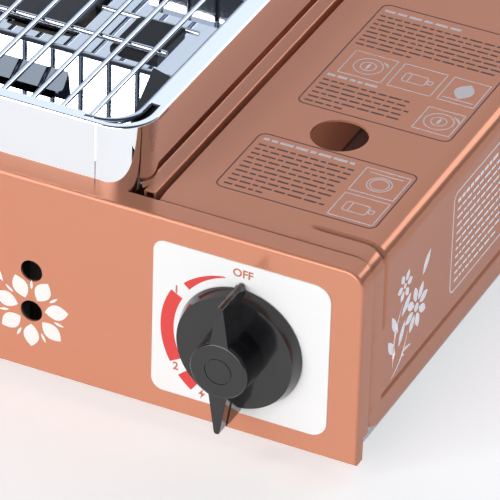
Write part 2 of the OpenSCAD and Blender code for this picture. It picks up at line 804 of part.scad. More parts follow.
module injector() {
  color(brass) difference() {
    union() {
      rod_x(injector_r, [injector_x, well_y, mix_z], injector_l, $fn = 64);
      rod_x(6.5, [injector_x + 1.5, well_y, mix_z], 4, $fn = 6);
      translate([injector_x - 3, well_y, mix_z]) rotate([0, 90, 0]) cylinder(r1 = 1.6, r2 = 3.5, h = 3);
    }
    rod_x(0.6, [injector_x - 4, well_y, mix_z], 13);
  }
}
module injector_bracket() {
  x = injector_x;
  color(galvanised) difference() {
    union() {
      block([x, well_y - 13, shield_z + sheet], [x + 1.5, well_y + 13, mix_z + 11]);
      block([x, well_y - 13, shield_z + sheet], [x + 10, well_y + 13, shield_z + 2 * sheet]);
    }
    rod_x(injector_r + seat_fit, [x - 1, well_y, mix_z], 4);
  }
}

module mixing_tube() {
  bell = 10;
  wall = 1.5;
  color(cast) difference() {
    union() {
      rod_x(mix_r, [box_x1, well_y, mix_z], mix_x1 - bell - box_x1);
      translate([mix_x1 - bell, well_y, mix_z]) rotate([0, 90, 0]) cylinder(r1 = mix_r, r2 = mix_mouth_r, h = bell);
      rod_x(mix_r + 1.5, [box_x1, well_y, mix_z], 2);
    }
    rod_x(mix_r - wall, [box_x1 - 1, well_y, mix_z], mix_x1 - box_x1 + 2);
    translate([mix_x1 - bell, well_y, mix_z]) rotate([0, 90, 0])
      cylinder(r1 = mix_r - wall, r2 = mix_mouth_r - wall, h = bell + eps);
  }
}

module burner_box() {
  a = [box_x0, box_y0];
  b = [box_x1, box_y1];
  rim = [box_rim, box_rim];
  wall = [box_t, box_t];
  ledge = [box_t + 3, box_t + 3];
  color(dark_steel) difference() {
    union() {
      translate([0, 0, box_low]) linear_extrude(burner_h) round_rect(a, b, 5);
      translate([0, 0, box_top - box_t]) linear_extrude(box_t) round_rect(a - rim, b + rim, 8);
      block([spark_x + 8, spark_y - 5, box_top - box_t], [spark_x + 16, spark_y + 5, box_top]);
      block([box_x1, spark_y - 5, box_top - box_t], [spark_x + 9, spark_y + 5, box_top]);
    }
    translate([0, 0, box_low + box_t]) linear_extrude(tile_ledge - box_low - 2 * box_t)
      round_rect(a + wall, b - wall, 4);
    translate([0, 0, box_low + box_t]) linear_extrude(burner_h) round_rect(a + ledge, b - ledge, 2);
    translate([0, 0, tile_ledge]) linear_extrude(burner_h) round_rect(a + wall, b - wall, 4);
    rod_x(mix_r - 1.5, [box_x1 - 5, well_y, mix_z], 6);
  }
}

// Two ceramic tiles with shallow rows of flame holes
module ceramic_tiles() {
  gap = 0.6;
  inner = 0.4;
  x0 = box_x0 + box_t + inner;
  x1 = box_x1 - box_t - inner;
  y0 = box_y0 + box_t + inner;
  y1 = box_y1 - box_t - inner;
  color([0.85, 0.8, 0.72]) for (s = [0, 1]) {
    a = s ? [well_x + gap / 2, y0] : [x0, y0];
    b = s ? [x1, y1] : [well_x - gap / 2, y1];
    translate([0, 0, tile_ledge]) difference() {
      linear_extrude(tile_t) round_rect(a, b, 3.5);
      for (i = [1 : 5]) translate([a[0] + (b[0] - a[0]) * i / 6, (y0 + y1) / 2, tile_t - 1])
        block([-1.5, -(y1 - y0) / 2 + 8, 0], [1.5, (y1 - y0) / 2 - 8, 2]);
    }
  }
}

module radiant_plate() {
  x0 = well_x - radiant_l / 2;
  x1 = well_x + radiant_l / 2;
  y0 = well_y - radiant_d / 2;
  y1 = well_y + radiant_d / 2;
  color(dark_steel) {
    translate([0, 0, radiant_top - radiant_t]) linear_extrude(radiant_t) round_rect([x0, y0], [x1, y1], 4);
    for (y = [y0 + radiant_leg_inset, y1 - radiant_leg_inset - radiant_leg]) {
      block([x0, y, box_top], [x0 + radiant_t, y + radiant_leg, radiant_top - radiant_t]);
      block([x1 - radiant_t, y, box_top], [x1, y + radiant_leg, radiant_top - radiant_t]);
    }
  }
}

// Two folded brackets carry the burner box above the heat shield
module burner_brackets() {
  half = 24;
  color(galvanised) for (x = [box_x0 + 16, box_x1 - 16]) {
    block([x, well_y - half, shield_z + sheet], [x + sheet, well_y + half, box_low]);
    block([x, well_y - half, shield_z + sheet], [x + 12, well_y + half, shield_z + 2 * sheet]);
    block([x, well_y - half, box_low - sheet], [x + 12, well_y + half, box_low]);
  }
}

module heat_shield() {
  color(galvanised) difference() {
    union() {
      block([shield_x0, shield_y0, shield_z], [shield_x1, shield_y1, shield_z + sheet]);
      for (y = [shield_y0, shield_y1 - sheet]) block([shield_x0, y, z_floor], [shield_x1, y + sheet, shield_z]);
      for (y = [shield_y0, shield_y1 - 14])
        block([shield_x0, y, z_floor], [shield_x1, y + 14, z_floor + sheet]);
    }
    for (p = base_screw_places) rod_z(screw_r, [p[0], p[1], z_floor - 1], sheet + 2);
  }
}

// Four folded posts that the tray's troughs stand on
module tray_supports() {
  color(galvanised) for (x = [tray_x0 + 40, tray_x1 - 50], y = [tray_y0 + 8, tray_y1 - 24]) {
    block([x, y, z_floor], [x + 20, y + sheet, trough_top - tray_t]);
    block([x, y, trough_top - tray_t - sheet], [x + 20, y + 14, trough_top - tray_t]);
    block([x, y, z_floor], [x + 20, y + 14, z_floor + sheet]);
  }
}

// The tray's section, front to back: trough, slope, deck, slope, trough
module tray_section(t) {
  polygon([
    [tray_y0 - 1, deck_z - t],
    [tray_y0 - 1, trough_top - t],
    [deck_y0 - slope_run + (t > 0 ? t * 0.414 : 0), trough_top - t],
    [deck_y0 + (t > 0 ? t * 0.414 : 0), deck_z - t],
    [deck_y1 - (t > 0 ? t * 0.414 : 0), deck_z - t],
    [deck_y1 + slope_run - (t > 0 ? t * 0.414 : 0), trough_top - t],
    [tray_y1 + 1, trough_top - t],
    [tray_y1 + 1, deck_z - t]]);
}
module tray_bottom() {
  prism_x(tray_x0 - 1, tray_x1 + 1) {
    polygon([
      [tray_y0 - 1, trough_top - tray_t], [deck_y0 - slope_run + tray_t * 0.414, trough_top - tray_t],
      [deck_y0 + tray_t * 0.414, deck_z - tray_t], [deck_y1 - tray_t * 0.414, deck_z - tray_t],
      [deck_y1 + slope_run - tray_t * 0.414, trough_top - tray_t], [tray_y1 + 1, trough_top - tray_t],
      [tray_y1 + 1, trough_top], [deck_y1 + slope_run, trough_top],
      [deck_y1, deck_z], [deck_y0, deck_z],
      [deck_y0 - slope_run, trough_top], [tray_y0 - 1, trough_top]]);
  }
}
module tray_above() {
  prism_x(tray_x0 - 1, tray_x1 + 1) polygon([
    [tray_y0 - 1, trough_top - tray_t], [deck_y0 - slope_run + tray_t * 0.414, trough_top - tray_t],
    [deck_y0 + tray_t * 0.414, deck_z - tray_t], [deck_y1 - tray_t * 0.414, deck_z - tray_t],
    [deck_y1 + slope_run - tray_t * 0.414, trough_top - tray_t], [tray_y1 + 1, trough_top - tray_t],
    [tray_y1 + 1, deck_z + tray_rim], [tray_y0 - 1, deck_z + tray_rim]]);
}
flap_y = deck_y0 - flap_root;
flap_z = deck_z - flap_root;
module drip_tray() {
  a = [tray_x0, tray_y0];
  b = [tray_x1, tray_y1];
  wall = [tray_t, tray_t];
  height = deck_z + tray_rim - trough_top + tray_t;
  edge = lift_gap;
  fx = flap_w / 2;
  color(chrome) {
    difference() {
      union() {
        intersection() {
          tray_bottom();
          translate([0, 0, trough_top - tray_t]) linear_extrude(height) round_rect(a, b, tray_r);
        }
        intersection() {
          tray_above();
          translate([0, 0, trough_top - tray_t]) linear_extrude(height) difference() {
            round_rect(a, b, tray_r);
            round_rect(a + wall, b - wall, tray_r - tray_t);
          }
        }
        block([ridge_x0 - 23, deck_y0 + 33, deck_z], [ridge_x0 + 28, deck_y0 + 36, deck_z + 1]);
      }
      block([well_x - radiant_l / 2 - edge, well_y - radiant_d / 2 - edge, deck_z - tray_t - 1],
        [well_x + radiant_l / 2 + edge, well_y + radiant_d / 2 + edge, deck_z + 1]);
      for (i = [-2 : 2]) translate([well_x + i * slot_pitch, deck_y0 + 8, deck_z - tray_t - 1])
        linear_extrude(tray_t + 2) round_rect([-slot_l / 2, -slot_w / 2], [slot_l / 2, slot_w / 2], 1.9);
      block([well_x - fx + 3, flap_y - 8.5, flap_z - 9.5], [well_x + fx - 3, flap_y - 0.5, flap_z + 1]);
      block([cover_x0 + 4, cover_y0 + 4, deck_z - tray_t - 1],
        [cover_x0 + cover_l - 4, cover_y0 + cover_d - 4, deck_z + 1]);
      for (x = [cover_x0 + 3, cover_x0 + cover_l - 3])
        rod_z(1, [x, cover_y0 + 2, deck_z - tray_t - 1], tray_t + 2, $fn = 24);
    }
    // The deflector flap under the front edge of the deck
    intersection() {
      translate([well_x, flap_y, flap_z]) rotate([flap_slope, 0, 0]) translate([0, 0, -tray_t])
        linear_extrude(tray_t) polygon([[-fx, 0.9], [fx, 0.9], [fx + flap_flare, -flap_l],
          [-fx - flap_flare, -flap_l]]);
      prism_x(well_x - fx - flap_flare, well_x + fx + flap_flare) polygon([
        [deck_y0 - flap_root + 0.7, flap_z + 0.7], [deck_y0 - flap_root - 20, flap_z + 0.7],
        [deck_y0 - flap_root - 20, flap_z - 20 + 0.7], [deck_y0 - flap_root - 20 + 0.7, flap_z - 20]]);
    }
  }
}

// A low roof on the deck that sheds fat away from the mixing tube
module tray_ridge() {
  t = 0.8;
  color(chrome) prism_x(ridge_x0, tray_x1 - tray_t - 0.3) polygon([
    [well_y - ridge_h, deck_z], [well_y, deck_z + ridge_h], [well_y + ridge_h, deck_z],
    [well_y + ridge_h - t * 1.414, deck_z], [well_y, deck_z + ridge_h - t * 1.414],
    [well_y - ridge_h + t * 1.414, deck_z]]);
}

module igniter_cover() {
  t = 1;
  a = [cover_x0, cover_y0, deck_z];
  b = [cover_x0 + cover_l, cover_y0 + cover_d, deck_z + cover_h];
  color(black) difference() {
    prism_y(a[1], b[1]) polygon([[a[0], a[2]], [a[0], a[2] + 2], [a[0] + 5.5, b[2]], [b[0] - 1, b[2]],
      [b[0], b[2] - 1], [b[0], a[2]]]);
    prism_y(a[1] + t, b[1] - t) polygon([[a[0] + t, a[2] - 1], [a[0] + t, a[2] + 1.6], [a[0] + 6, b[2] - t],
      [b[0] - t, b[2] - t], [b[0] - t, a[2] - 1]]);
    for (x = [a[0] + 3, b[0] - 3]) rod_z(1, [x, a[1] + 2, deck_z - 1], 12, $fn = 24);
  }
  color(black) for (x = [a[0] + 3, b[0] - 3]) difference() {
    block([x - 2, a[1] + 0.5, deck_z], [x + 2, a[1] + 4, deck_z + 1.2]);
    rod_z(1, [x, a[1] + 2, deck_z - 1], 12, $fn = 24);
  }
}
module cover_rivets() {
  color(chrome) for (x = [cover_x0 + 3, cover_x0 + cover_l - 3]) {
    rod_z(1, [x, cover_y0 + 2, deck_z - tray_t], tray_t + 1.2, $fn = 24);
    rod_z(1.8, [x, cover_y0 + 2, deck_z - tray_t - 0.8], 0.8, $fn = 24);
  }
}

// The opening in the skirt's rim, wider round the corners
module rim_opening() {
  a = [skirt_x0, skirt_y0];
  b = [skirt_x1, skirt_y1];
  in_main = [rim_side_w, rim_w];
  in_corner = [rim_corner_w, rim_corner_w];
  round_rect(a + in_main, b - in_main, 4);
  intersection() {
    round_rect(a + in_corner, b - in_corner, skirt_r - rim_corner_w);
    for (x = [a[0], b[0] - relief_x], y = [a[1], b[1] - relief_y])
      translate([x, y]) square([relief_x, relief_y]);
  }
}
module wind_skirt() {
  a = [skirt_x0, skirt_y0];
  b = [skirt_x1, skirt_y1];
  wall = [skirt_t, skirt_t];
  color(chrome) {
    translate([0, 0, z_top]) linear_extrude(skirt_h) difference() {
      round_rect(a, b, skirt_r);
      round_rect(a + wall, b - wall, skirt_r - skirt_t);
    }
    translate([0, 0, z_rim - skirt_t]) linear_extrude(skirt_t) difference() {
      round_rect(a, b, skirt_r);
      rim_opening();
    }
  }
}

// Black corner plates inside the skirt carry the net
bracket_t = 1.2;
bracket_l = 39;
bracket_w = 21.4;
bracket_tip_w = 11.5;
bracket_y = 14.9;
bracket_drop = 12;
bracket_z = loop_z - loop_r - bracket_t;
module corner_plate() {
  translate([0, bracket_y, bracket_z]) linear_extrude(bracket_t) polygon([[-skirt_t - 0.15, 0],
    [-bracket_tip_w, 0], [-bracket_w, bracket_l], [-bracket_w + 8.7, bracket_l - 2.8],
    [-skirt_t, bracket_l - 6.5], [-skirt_t, 3]]);
  translate([-skirt_t - bracket_t, bracket_y + 3, bracket_z - bracket_drop])
    cube([bracket_t, bracket_l - 12, bracket_drop]);
}
module at_corners() {
  for (sx = [0, 1], sy = [0, 1])
    translate([sx ? skirt_x1 : skirt_x0, sy ? skirt_y1 : skirt_y0, 0])
      mirror([sx ? 0 : 1, 0, 0]) mirror([0, sy ? 1 : 0, 0]) children();
}
rivet_places = [bracket_y + 7, bracket_y + bracket_l - 13];
module net_brackets() {
  color(black) at_corners() difference() {
    corner_plate();
    for (y = rivet_places)
      rod_x(1.2, [-skirt_t - bracket_t - 1, y, bracket_z - bracket_drop / 2], bracket_t + 2, $fn = 24);
  }
}
module bracket_rivets() {
  color(chrome) at_corners() for (y = rivet_places) {
    rod_x(1.2, [-skirt_t - bracket_t, y, bracket_z - bracket_drop / 2], bracket_t, $fn = 24);
    rod_x(2, [-skirt_t - bracket_t - 0.8, y, bracket_z - bracket_drop / 2], 0.8, $fn = 24);
  }
}

module net_frame() {
  x = loop_w / 2 - loop_corner;
  y = loop_d / 2 - loop_corner;
  color(chrome) translate([well_x, well_y, loop_z]) {
    for (s = [-1, 1]) {
      rod_x(loop_r, [-x, s * loop_d / 2, 0], 2 * x, $fn = 32);
      rod_y(loop_r, [s * loop_w / 2, -y, 0], 2 * y, $fn = 32);
    }
    for (c = [[1, 1, 0], [-1, 1, 90], [-1, -1, 180], [1, -1, 270]])
      quarter([c[0] * x, c[1] * y, 0], [0, 0, c[2]], loop_r, loop_corner, $fn = 32);
  }
}
module net_bars() {
  first = -(bar_count - 1) / 2;
  color(chrome) for (i = [0 : bar_count - 1])
    rod_y(bar_r, [well_x + (first + i) * bar_pitch, well_y - bar_l / 2, bar_z], bar_l, $fn = 24);
}
module net_cross_wires() {
  color(chrome) for (s = [-1, 1])
    rod_x(cross_r, [well_x - cross_l / 2, well_y + s * cross_pitch / 2, cross_z], cross_l, $fn = 32);
}

front_panel();
rear_panel();
left_side();
base_pan();
feet();
base_screws();
rear_screws();
divider();
bay_bulkhead();
cartridge_cradle();
hinge_brackets();
hinge_pins();
lid();
lid_bumpers();
dial_plate();
valve_body();
regulator_cap();
regulator_screws();
panel_nut();
valve_stem();
knob();
valve_pin();
cartridge_seat();
seat_magnets();
piezo_igniter();
igniter_lead();
electrode_ceramic();
electrode_tip();
gas_pipe();
injector();
injector_bracket();
mixing_tube();
burner_box();
ceramic_tiles();
radiant_plate();
burner_brackets();
heat_shield();
tray_supports();
drip_tray();
tray_ridge();
igniter_cover();
cover_rivets();
wind_skirt();
net_brackets();
bracket_rivets();
net_frame();
net_bars();
net_cross_wires();
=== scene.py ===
import bpy
import bmesh
import json
import math
import random
from types import SimpleNamespace
from mathutils import Matrix, Vector


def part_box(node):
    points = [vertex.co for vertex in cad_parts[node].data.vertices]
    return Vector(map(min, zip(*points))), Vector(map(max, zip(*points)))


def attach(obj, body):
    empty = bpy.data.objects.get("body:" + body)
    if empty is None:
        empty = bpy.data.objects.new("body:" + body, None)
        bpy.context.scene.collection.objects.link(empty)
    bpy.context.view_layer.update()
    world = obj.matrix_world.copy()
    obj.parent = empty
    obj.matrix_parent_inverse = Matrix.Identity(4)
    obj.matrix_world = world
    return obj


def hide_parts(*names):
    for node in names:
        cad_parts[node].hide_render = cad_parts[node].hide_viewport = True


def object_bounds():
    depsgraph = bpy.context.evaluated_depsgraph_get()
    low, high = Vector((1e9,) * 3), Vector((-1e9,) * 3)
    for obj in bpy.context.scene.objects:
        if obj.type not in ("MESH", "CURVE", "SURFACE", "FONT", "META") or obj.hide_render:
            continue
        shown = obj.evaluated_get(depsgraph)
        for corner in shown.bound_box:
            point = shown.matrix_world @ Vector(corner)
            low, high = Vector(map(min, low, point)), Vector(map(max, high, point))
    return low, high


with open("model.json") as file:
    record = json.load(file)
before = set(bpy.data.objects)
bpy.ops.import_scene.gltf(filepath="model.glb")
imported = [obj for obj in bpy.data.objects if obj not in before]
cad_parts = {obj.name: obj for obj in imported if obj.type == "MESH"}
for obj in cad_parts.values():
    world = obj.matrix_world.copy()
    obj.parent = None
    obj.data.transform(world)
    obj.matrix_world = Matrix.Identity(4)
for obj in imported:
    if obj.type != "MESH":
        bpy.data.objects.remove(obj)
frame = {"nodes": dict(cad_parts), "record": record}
cadLow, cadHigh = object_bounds()
mm = 0.001
tiny, finest = 1e-6, 1e-7  # places closer than these are one: in sheet, and in prints and cuts
slack = 1e-5
straight = 0.99  # the least part of a normal along the axis that its face looks along
print("frame loaded")


def low(node):
    return Vector(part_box(node)[0])


def high(node):
    return Vector(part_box(node)[1])


def ends(node):
    return low(node), high(node)


def metres(sizes):
    # a piece's lengths in metres: its decimals are in mm, its whole numbers are counts or angles
    return SimpleNamespace(**{name: size * mm if isinstance(size, float) else size
                              for name, size in sizes.items()})


def begin(node, table):
    # a piece's lengths, half its sheet and the ends of its node's box
    size = metres(table)
    return (size, size.sheet / 2, *ends(node))


# the casing's corner that the photograph's measures start from
frontLeft = low("front_panel")
frontRight = Vector((high("front_panel").x, frontLeft.y, frontLeft.z))
panelTop = high("front_panel").z


def fromCorner(x, y, z):
    # a place in mm from the right face, the front face and the lower edge of the front panel
    return frontRight + Vector((x, y, z)) * mm


def addNode(tree, kind, **values):
    # each value is a property of the node or the default of an input
    node = tree.nodes.new("ShaderNode" + kind)
    for key, value in values.items():
        if hasattr(node, key):
            setattr(node, key, value)
        else:
            node.inputs[key.replace("_", " ")].default_value = value
    return node


def join(tree, *steps):
    # each step is a node and its output, then a node and its input
    for source, output, target, socket in steps:
        tree.links.new(source.outputs[output], target.inputs[socket])


def addObject(name, data):
    shape = bpy.data.objects.new(name, data)
    bpy.context.scene.collection.objects.link(shape)
    return shape


def makePattern(name, sizeLabel, sizeKind, detail, roughness):
    # a colour between two tones, a roughness and a height, from fine mottling or from long streaks
    group = bpy.data.node_groups.new(name, "ShaderNodeTree")
    given = (("Colour A", "Color"), ("Colour B", "Color"), (sizeLabel, sizeKind),
             ("Rough Low", "Float"), ("Rough High", "Float"))
    taken = (("Colour", "Color"), ("Roughness", "Float"), ("Height", "Float"))
    for side, sockets in (("INPUT", given), ("OUTPUT", taken)):
        for label, kind in sockets:
            group.interface.new_socket(name=label, in_out=side, socket_type="NodeSocket" + kind)
    start, end = group.nodes.new("NodeGroupInput"), group.nodes.new("NodeGroupOutput")
    place = addNode(group, "TexCoord")
    fine = broad = addNode(group, "TexNoise", Scale=1.0, Detail=detail, Roughness=roughness)
    if sizeKind == "Vector":
        stretch = addNode(group, "Mapping")
        join(group, (place, "Object", stretch, "Vector"), (start, sizeLabel, stretch, "Scale"),
             (stretch, "Vector", fine, "Vector"))
    else:
        broad = addNode(group, "TexNoise", Scale=14.0, Detail=2.0)
        join(group, (place, "Object", fine, "Vector"), (place, "Object", broad, "Vector"),
             (start, sizeLabel, fine, "Scale"))
    mix = addNode(group, "Mix", data_type="RGBA")
    rough = addNode(group, "MapRange")
    join(group, (fine, "Fac", mix, "Factor"), (start, "Colour A", mix, "A"),
         (start, "Colour B", mix, "B"), (broad, "Fac", rough, "Value"),
         (start, "Rough Low", rough, "To Min"), (start, "Rough High", rough, "To Max"),
         (mix, "Result", end, "Colour"), (rough, "Result", end, "Roughness"),
         (fine, "Fac", end, "Height"))
    return group


mottled = makePattern("surfaceNoise", "Scale", "Float", 4.0, 0.6)
streaked = makePattern("brushedGrain", "Stretch", "Vector", 3.0, 0.7)


def tone(shades):
    # a screen colour, 0 to 255, as the linear colour that renders as it
    parts = [shade / 255 for shade in shades]
    return (*[part / 12.92 if part <= 0.04045 else ((part + 0.055) / 1.055) ** 2.4
              for part in parts], 1)


def makeFinish(name, pattern, toneA, toneB, size, roughLow, roughHigh, bump=0, bumpDepth=0.05,
               **values):
    material = bpy.data.materials.new(name)
    material.use_nodes = True
    tree = material.node_tree
    shader = tree.nodes["Principled BSDF"]
    for label, value in values.items():
        shader.inputs[label].default_value = value
    grain = addNode(tree, "Group", node_tree=pattern)
    for socket, value in zip(grain.inputs, (tone(toneA), tone(toneB), size, roughLow, roughHigh)):
        socket.default_value = value
    join(tree, (grain, "Colour", shader, "Base Color"), (grain, "Roughness", shader, "Roughness"))
    if bump:
        relief = addNode(tree, "Bump", Strength=bump, Distance=bumpDepth * mm)
        join(tree, (grain, "Height", relief, "Height"), (relief, "Normal", shader, "Normal"))
    return material


# slot and material, pattern, its two tones and size, least and most roughness, and the rest
finishes = (
    ("copper_paint", "copperPaint", mottled, (216, 146, 117), (222, 152, 123), 1800, 0.12, 0.16,
     {"bump": 0.02, "bumpDepth": 0.02, "Metallic": 0.3, "Specular IOR Level": 0.05}),
    ("zinc_sheet", "zincSheet", mottled, (168, 170, 172), (196, 198, 200), 160, 0.32, 0.5,
     {"Metallic": 0.9}),
    ("rubber", "footRubber", mottled, (28, 28, 28), (38, 38, 38), 900, 0.7, 0.85, {"bump": 0.2}),
    ("bright_steel", "brightSteel", streaked, (190, 190, 192), (215, 215, 216), (900, 900, 60),
     0.2, 0.32, {"Metallic": 1}),
    ("white_plate", "whitePlate", mottled, (246, 245, 244), (250, 249, 248), 700, 0.38, 0.46,
     {"Coat Weight": 0.1, "Coat Roughness": 0.3}),
    ("cast_alloy", "castAlloy", mottled, (160, 162, 164), (185, 187, 189), 900, 0.45, 0.6,
     {"bump": 0.35, "bumpDepth": 0.08, "Metallic": 0.9}),
    ("brass", "brassTurned", streaked, (200, 165, 95), (222, 188, 115), (60, 1200, 60),
     0.2, 0.32, {"Metallic": 1}),
    ("black_gloss", "blackGloss", mottled, (22, 22, 24), (26, 26, 28), 400, 0.12, 0.17,
     {"bump": 0.03, "Specular IOR Level": 0.6, "Coat Weight": 0.3, "Coat Roughness": 0.08}),
    ("black_plastic", "blackPlastic", mottled, (30, 30, 32), (40, 40, 42), 1400, 0.45, 0.55,
     {"bump": 0.15}),
    ("magnet", "magnetNickel", mottled, (170, 172, 176), (190, 192, 196), 500, 0.2, 0.3,
     {"Metallic": 1}),
    ("lead_sleeve", "leadSleeve", mottled, (150, 34, 30), (164, 42, 36), 600, 0.45, 0.55, {}),
    ("white_ceramic", "whiteCeramic", mottled, (236, 232, 222), (244, 240, 232), 300, 0.12, 0.2,
     {"Coat Weight": 0.6}),
    ("wire_steel", "wireSteel", streaked, (205, 210, 222), (226, 230, 238), (900, 30, 900),
     0.07, 0.13, {"Metallic": 1}),
    ("tube_steel", "tubeSteel", streaked, (160, 160, 164), (188, 188, 192), (40, 900, 900),
     0.25, 0.4, {"Metallic": 1}),
    ("scaled_steel", "scaledSteel", mottled, (70, 66, 64), (104, 96, 90), 120, 0.4, 0.65,
     {"bump": 0.2, "Metallic": 0.8}),
    ("tile_ceramic", "tileCeramic", mottled, (214, 204, 184), (232, 224, 206), 700, 0.8, 0.9,
     {"bump": 0.5, "bumpDepth": 0.15}),
    ("dark_plate", "darkPlate", mottled, (66, 66, 70), (82, 82, 86), 220, 0.42, 0.55,
     {"bump": 0.15, "Metallic": 0.5}),
    ("tray_chrome", "trayChrome", streaked, (208, 213, 220), (216, 221, 228), (500, 20, 500),
     0.015, 0.035, {"Metallic": 1}),
    ("skirt_chrome", "skirtChrome", streaked, (247, 250, 253), (252, 253, 255), (20, 20, 700),
     0.01, 0.03, {"Metallic": 1}),
    ("black_enamel", "blackEnamel", mottled, (26, 26, 28), (34, 34, 36), 500, 0.3, 0.4,
     {"bump": 0.05, "Specular IOR Level": 0.25}),
)
inks = (
    ("printWhite", (246, 244, 240), (250, 248, 246), {}),
    ("printRed", (226, 66, 62), (232, 74, 70), {}),
    ("printOrange", (196, 112, 78), (204, 120, 86), {}),
    ("printPale", (236, 226, 226), (242, 232, 232), {}),
    # the side's print glows faintly: painted light that keeps it as pale as the front's print where
    # the lid's side gets less light
    ("printSidePaintedGlow", (238, 236, 240), (244, 242, 246),
     {"Emission Color": (0.9, 0.9, 1, 1), "Emission Strength": 0.28}),
    ("printDark", (84, 54, 50), (92, 62, 58), {}),
)
paints = {slot: makeFinish(*values, **rest) for slot, *values, rest in finishes}
paints.update({name: makeFinish(name, mottled, toneA, toneB, 900, 0.4, 0.5, **rest)
               for name, toneA, toneB, rest in inks})
for part in frame["record"]["subparts"]:
    node = frame["nodes"][part["node"]]
    node.data.materials.clear()
    node.data.materials.append(paints[part["material_slot"]])
print("materials made")


studio = {
    "sensor": 36.0, "lens": 380.41, "turn": 24.9, "tilt": 56.353, "roll": 1.741,
    "place": (647.4, -1496.22, 1182.73), "reach": (0.05, 30.0),
    "worldDark": (0.05, 0.055, 0.07),
    "worldSides": (((-0.15, -1.0, -0.1), 0.6, 0.95, (4.6, 4.6, 4.6)),
                   ((0.05, 0.8, 0.58), 0.62, 0.96, (0.9, 1.0, 1.14))),
    "keyLamp": ((-0.75, -1.2, 1.6), (0, 0, 0.05), 0.36, 3.3),
    "edgeLamp": ((1.15, 1.55, 0.75), (0, 0, 0.05), 0.6, 2.8),
    "bayLamp": ((0.165, 0.0, 0.08), (0.1, 0.062, 0.02), 0.02, 0.03),
    "floorGlow": 0.47, "floorColour": 0.88, "floorSize": 9.0, "floorGap": 0.0002,
}


def placeCamera():
    data = bpy.data.cameras.new("photoCamera")
    data.sensor_width = studio["sensor"]
    data.lens = studio["lens"]
    data.clip_start, data.clip_end = studio["reach"]
    camera = addObject("photoCamera", data)
    camera.matrix_world = Matrix.Translation(fromCorner(*studio["place"]))
    for angle, axis in (("turn", "Z"), ("tilt", "X"), ("roll", "Z")):
        camera.matrix_world @= Matrix.Rotation(math.radians(studio[angle]), 4, axis)
    bpy.context.scene.camera = camera


def makeWorld():
    # a dark world with two soft bright sides
    world = bpy.data.worlds.new("studioWorld")
    bpy.context.scene.world = world
    world.use_nodes = True
    tree = world.node_tree
    tree.nodes.clear()
    place = addNode(tree, "TexCoord")
    mix = None
    for side, start, end, colour in studio["worldSides"]:
        toward = addNode(tree, "VectorMath", operation="DOT_PRODUCT")
        toward.inputs[1].default_value = Vector(side).normalized()
        fade = addNode(tree, "MapRange", interpolation_type="SMOOTHSTEP", From_Min=start,
                       From_Max=end)
        before, mix = mix, addNode(tree, "Mix", data_type="RGBA", A=(*studio["worldDark"], 1),
                                   B=(*colour, 1))
        join(tree, (place, "Generated", toward, 0), (toward, "Value", fade, "Value"),
             (fade, "Result", mix, "Factor"))
        if before:
            join(tree, (before, "Result", mix, "A"))
    soft = addNode(tree, "Background", Strength=1.0)
    end = addNode(tree, "OutputWorld")
    join(tree, (mix, "Result", soft, "Color"), (soft, "Background", end, "Surface"))


def addLamp(name, shown=True):
    place, target, size, power = studio[name]
    data = bpy.data.lights.new(name, "AREA")
    data.shape = "DISK"
    data.size = size
    data.energy = power
    lamp = addObject(name, data)
    lamp.location = place
    aim = Vector(target) - Vector(place)
    lamp.rotation_euler = aim.to_track_quat("-Z", "Y").to_euler()
    lamp.visible_camera = lamp.visible_glossy = shown


def layFloor():
    bm = bmesh.new()
    bmesh.ops.create_grid(bm, x_segments=1, y_segments=1, size=studio["floorSize"] / 2)
    shift(bm, (0, 0, cadLow[2] - studio["floorGap"]))
    floor = toObject("studioFloor", bm, 0)
    material = bpy.data.materials.new("studioFloor")
    material.use_nodes = True
    tree = material.node_tree
    tree.nodes.clear()
    matt = addNode(tree, "BsdfDiffuse", Color=(*[studio["floorColour"]] * 3, 1))
    glow = addNode(tree, "Emission", Color=(1, 1, 1, 1))
    rays = addNode(tree, "LightPath")
    seen = addNode(tree, "Math", operation="MAXIMUM")
    seenOrThrough = addNode(tree, "Math", operation="MAXIMUM")
    strength = addNode(tree, "Math", operation="MULTIPLY")
    strength.inputs[1].default_value = studio["floorGlow"]
    blend = addNode(tree, "AddShader")
    end = addNode(tree, "OutputMaterial")
    join(tree, (rays, "Is Camera Ray", seen, 0), (rays, "Is Glossy Ray", seen, 1),
         (seen, "Value", seenOrThrough, 0), (rays, "Is Transmission Ray", seenOrThrough, 1),
         (seenOrThrough, "Value", strength, 0), (strength, "Value", glow, "Strength"),
         (matt, "BSDF", blend, 0), (glow, "Emission", blend, 1),
         (blend, "Shader", end, "Surface"))
    floor.data.materials.append(material)


def shift(bm, vector, verts=None):
    bmesh.ops.translate(bm, vec=vector, verts=bm.verts if verts is None else verts)


def turn(bm, matrix, verts=None):
    bmesh.ops.rotate(bm, cent=(0, 0, 0), matrix=matrix, verts=bm.verts if verts is None else verts)


def boxCorners(bm, near, far):
    verts = bmesh.ops.create_cube(bm, size=1.0)["verts"]
    near, far = Vector(near), Vector(far)
    bmesh.ops.scale(bm, vec=far - near, verts=verts)
    shift(bm, (far + near) / 2, verts)
    return bm


def rodAlong(bm, start, end, radius, segments, endRadius=None):
    start, end = Vector(start), Vector(end)
    verts = bmesh.ops.create_cone(bm, cap_ends=True, segments=segments, radius1=radius,
                                  radius2=radius if endRadius is None else endRadius,
                                  depth=(end - start).length)["verts"]
    turn(bm, Vector((0, 0, 1)).rotation_difference(end - start).to_matrix(), verts)
    shift(bm, (start + end) / 2, verts)
    return bm


def toObject(name, bm, merge=tiny):
    if merge:
        bmesh.ops.remove_doubles(bm, verts=bm.verts, dist=merge)
        bmesh.ops.recalc_face_normals(bm, faces=bm.faces)
    mesh = bpy.data.meshes.new(name)
    bm.to_mesh(mesh)
    bm.free()
    return addObject(name, mesh)


def toMesh(piece):
    bm = bmesh.new()
    bm.from_mesh(piece.data)
    bpy.data.objects.remove(piece)
    return bm


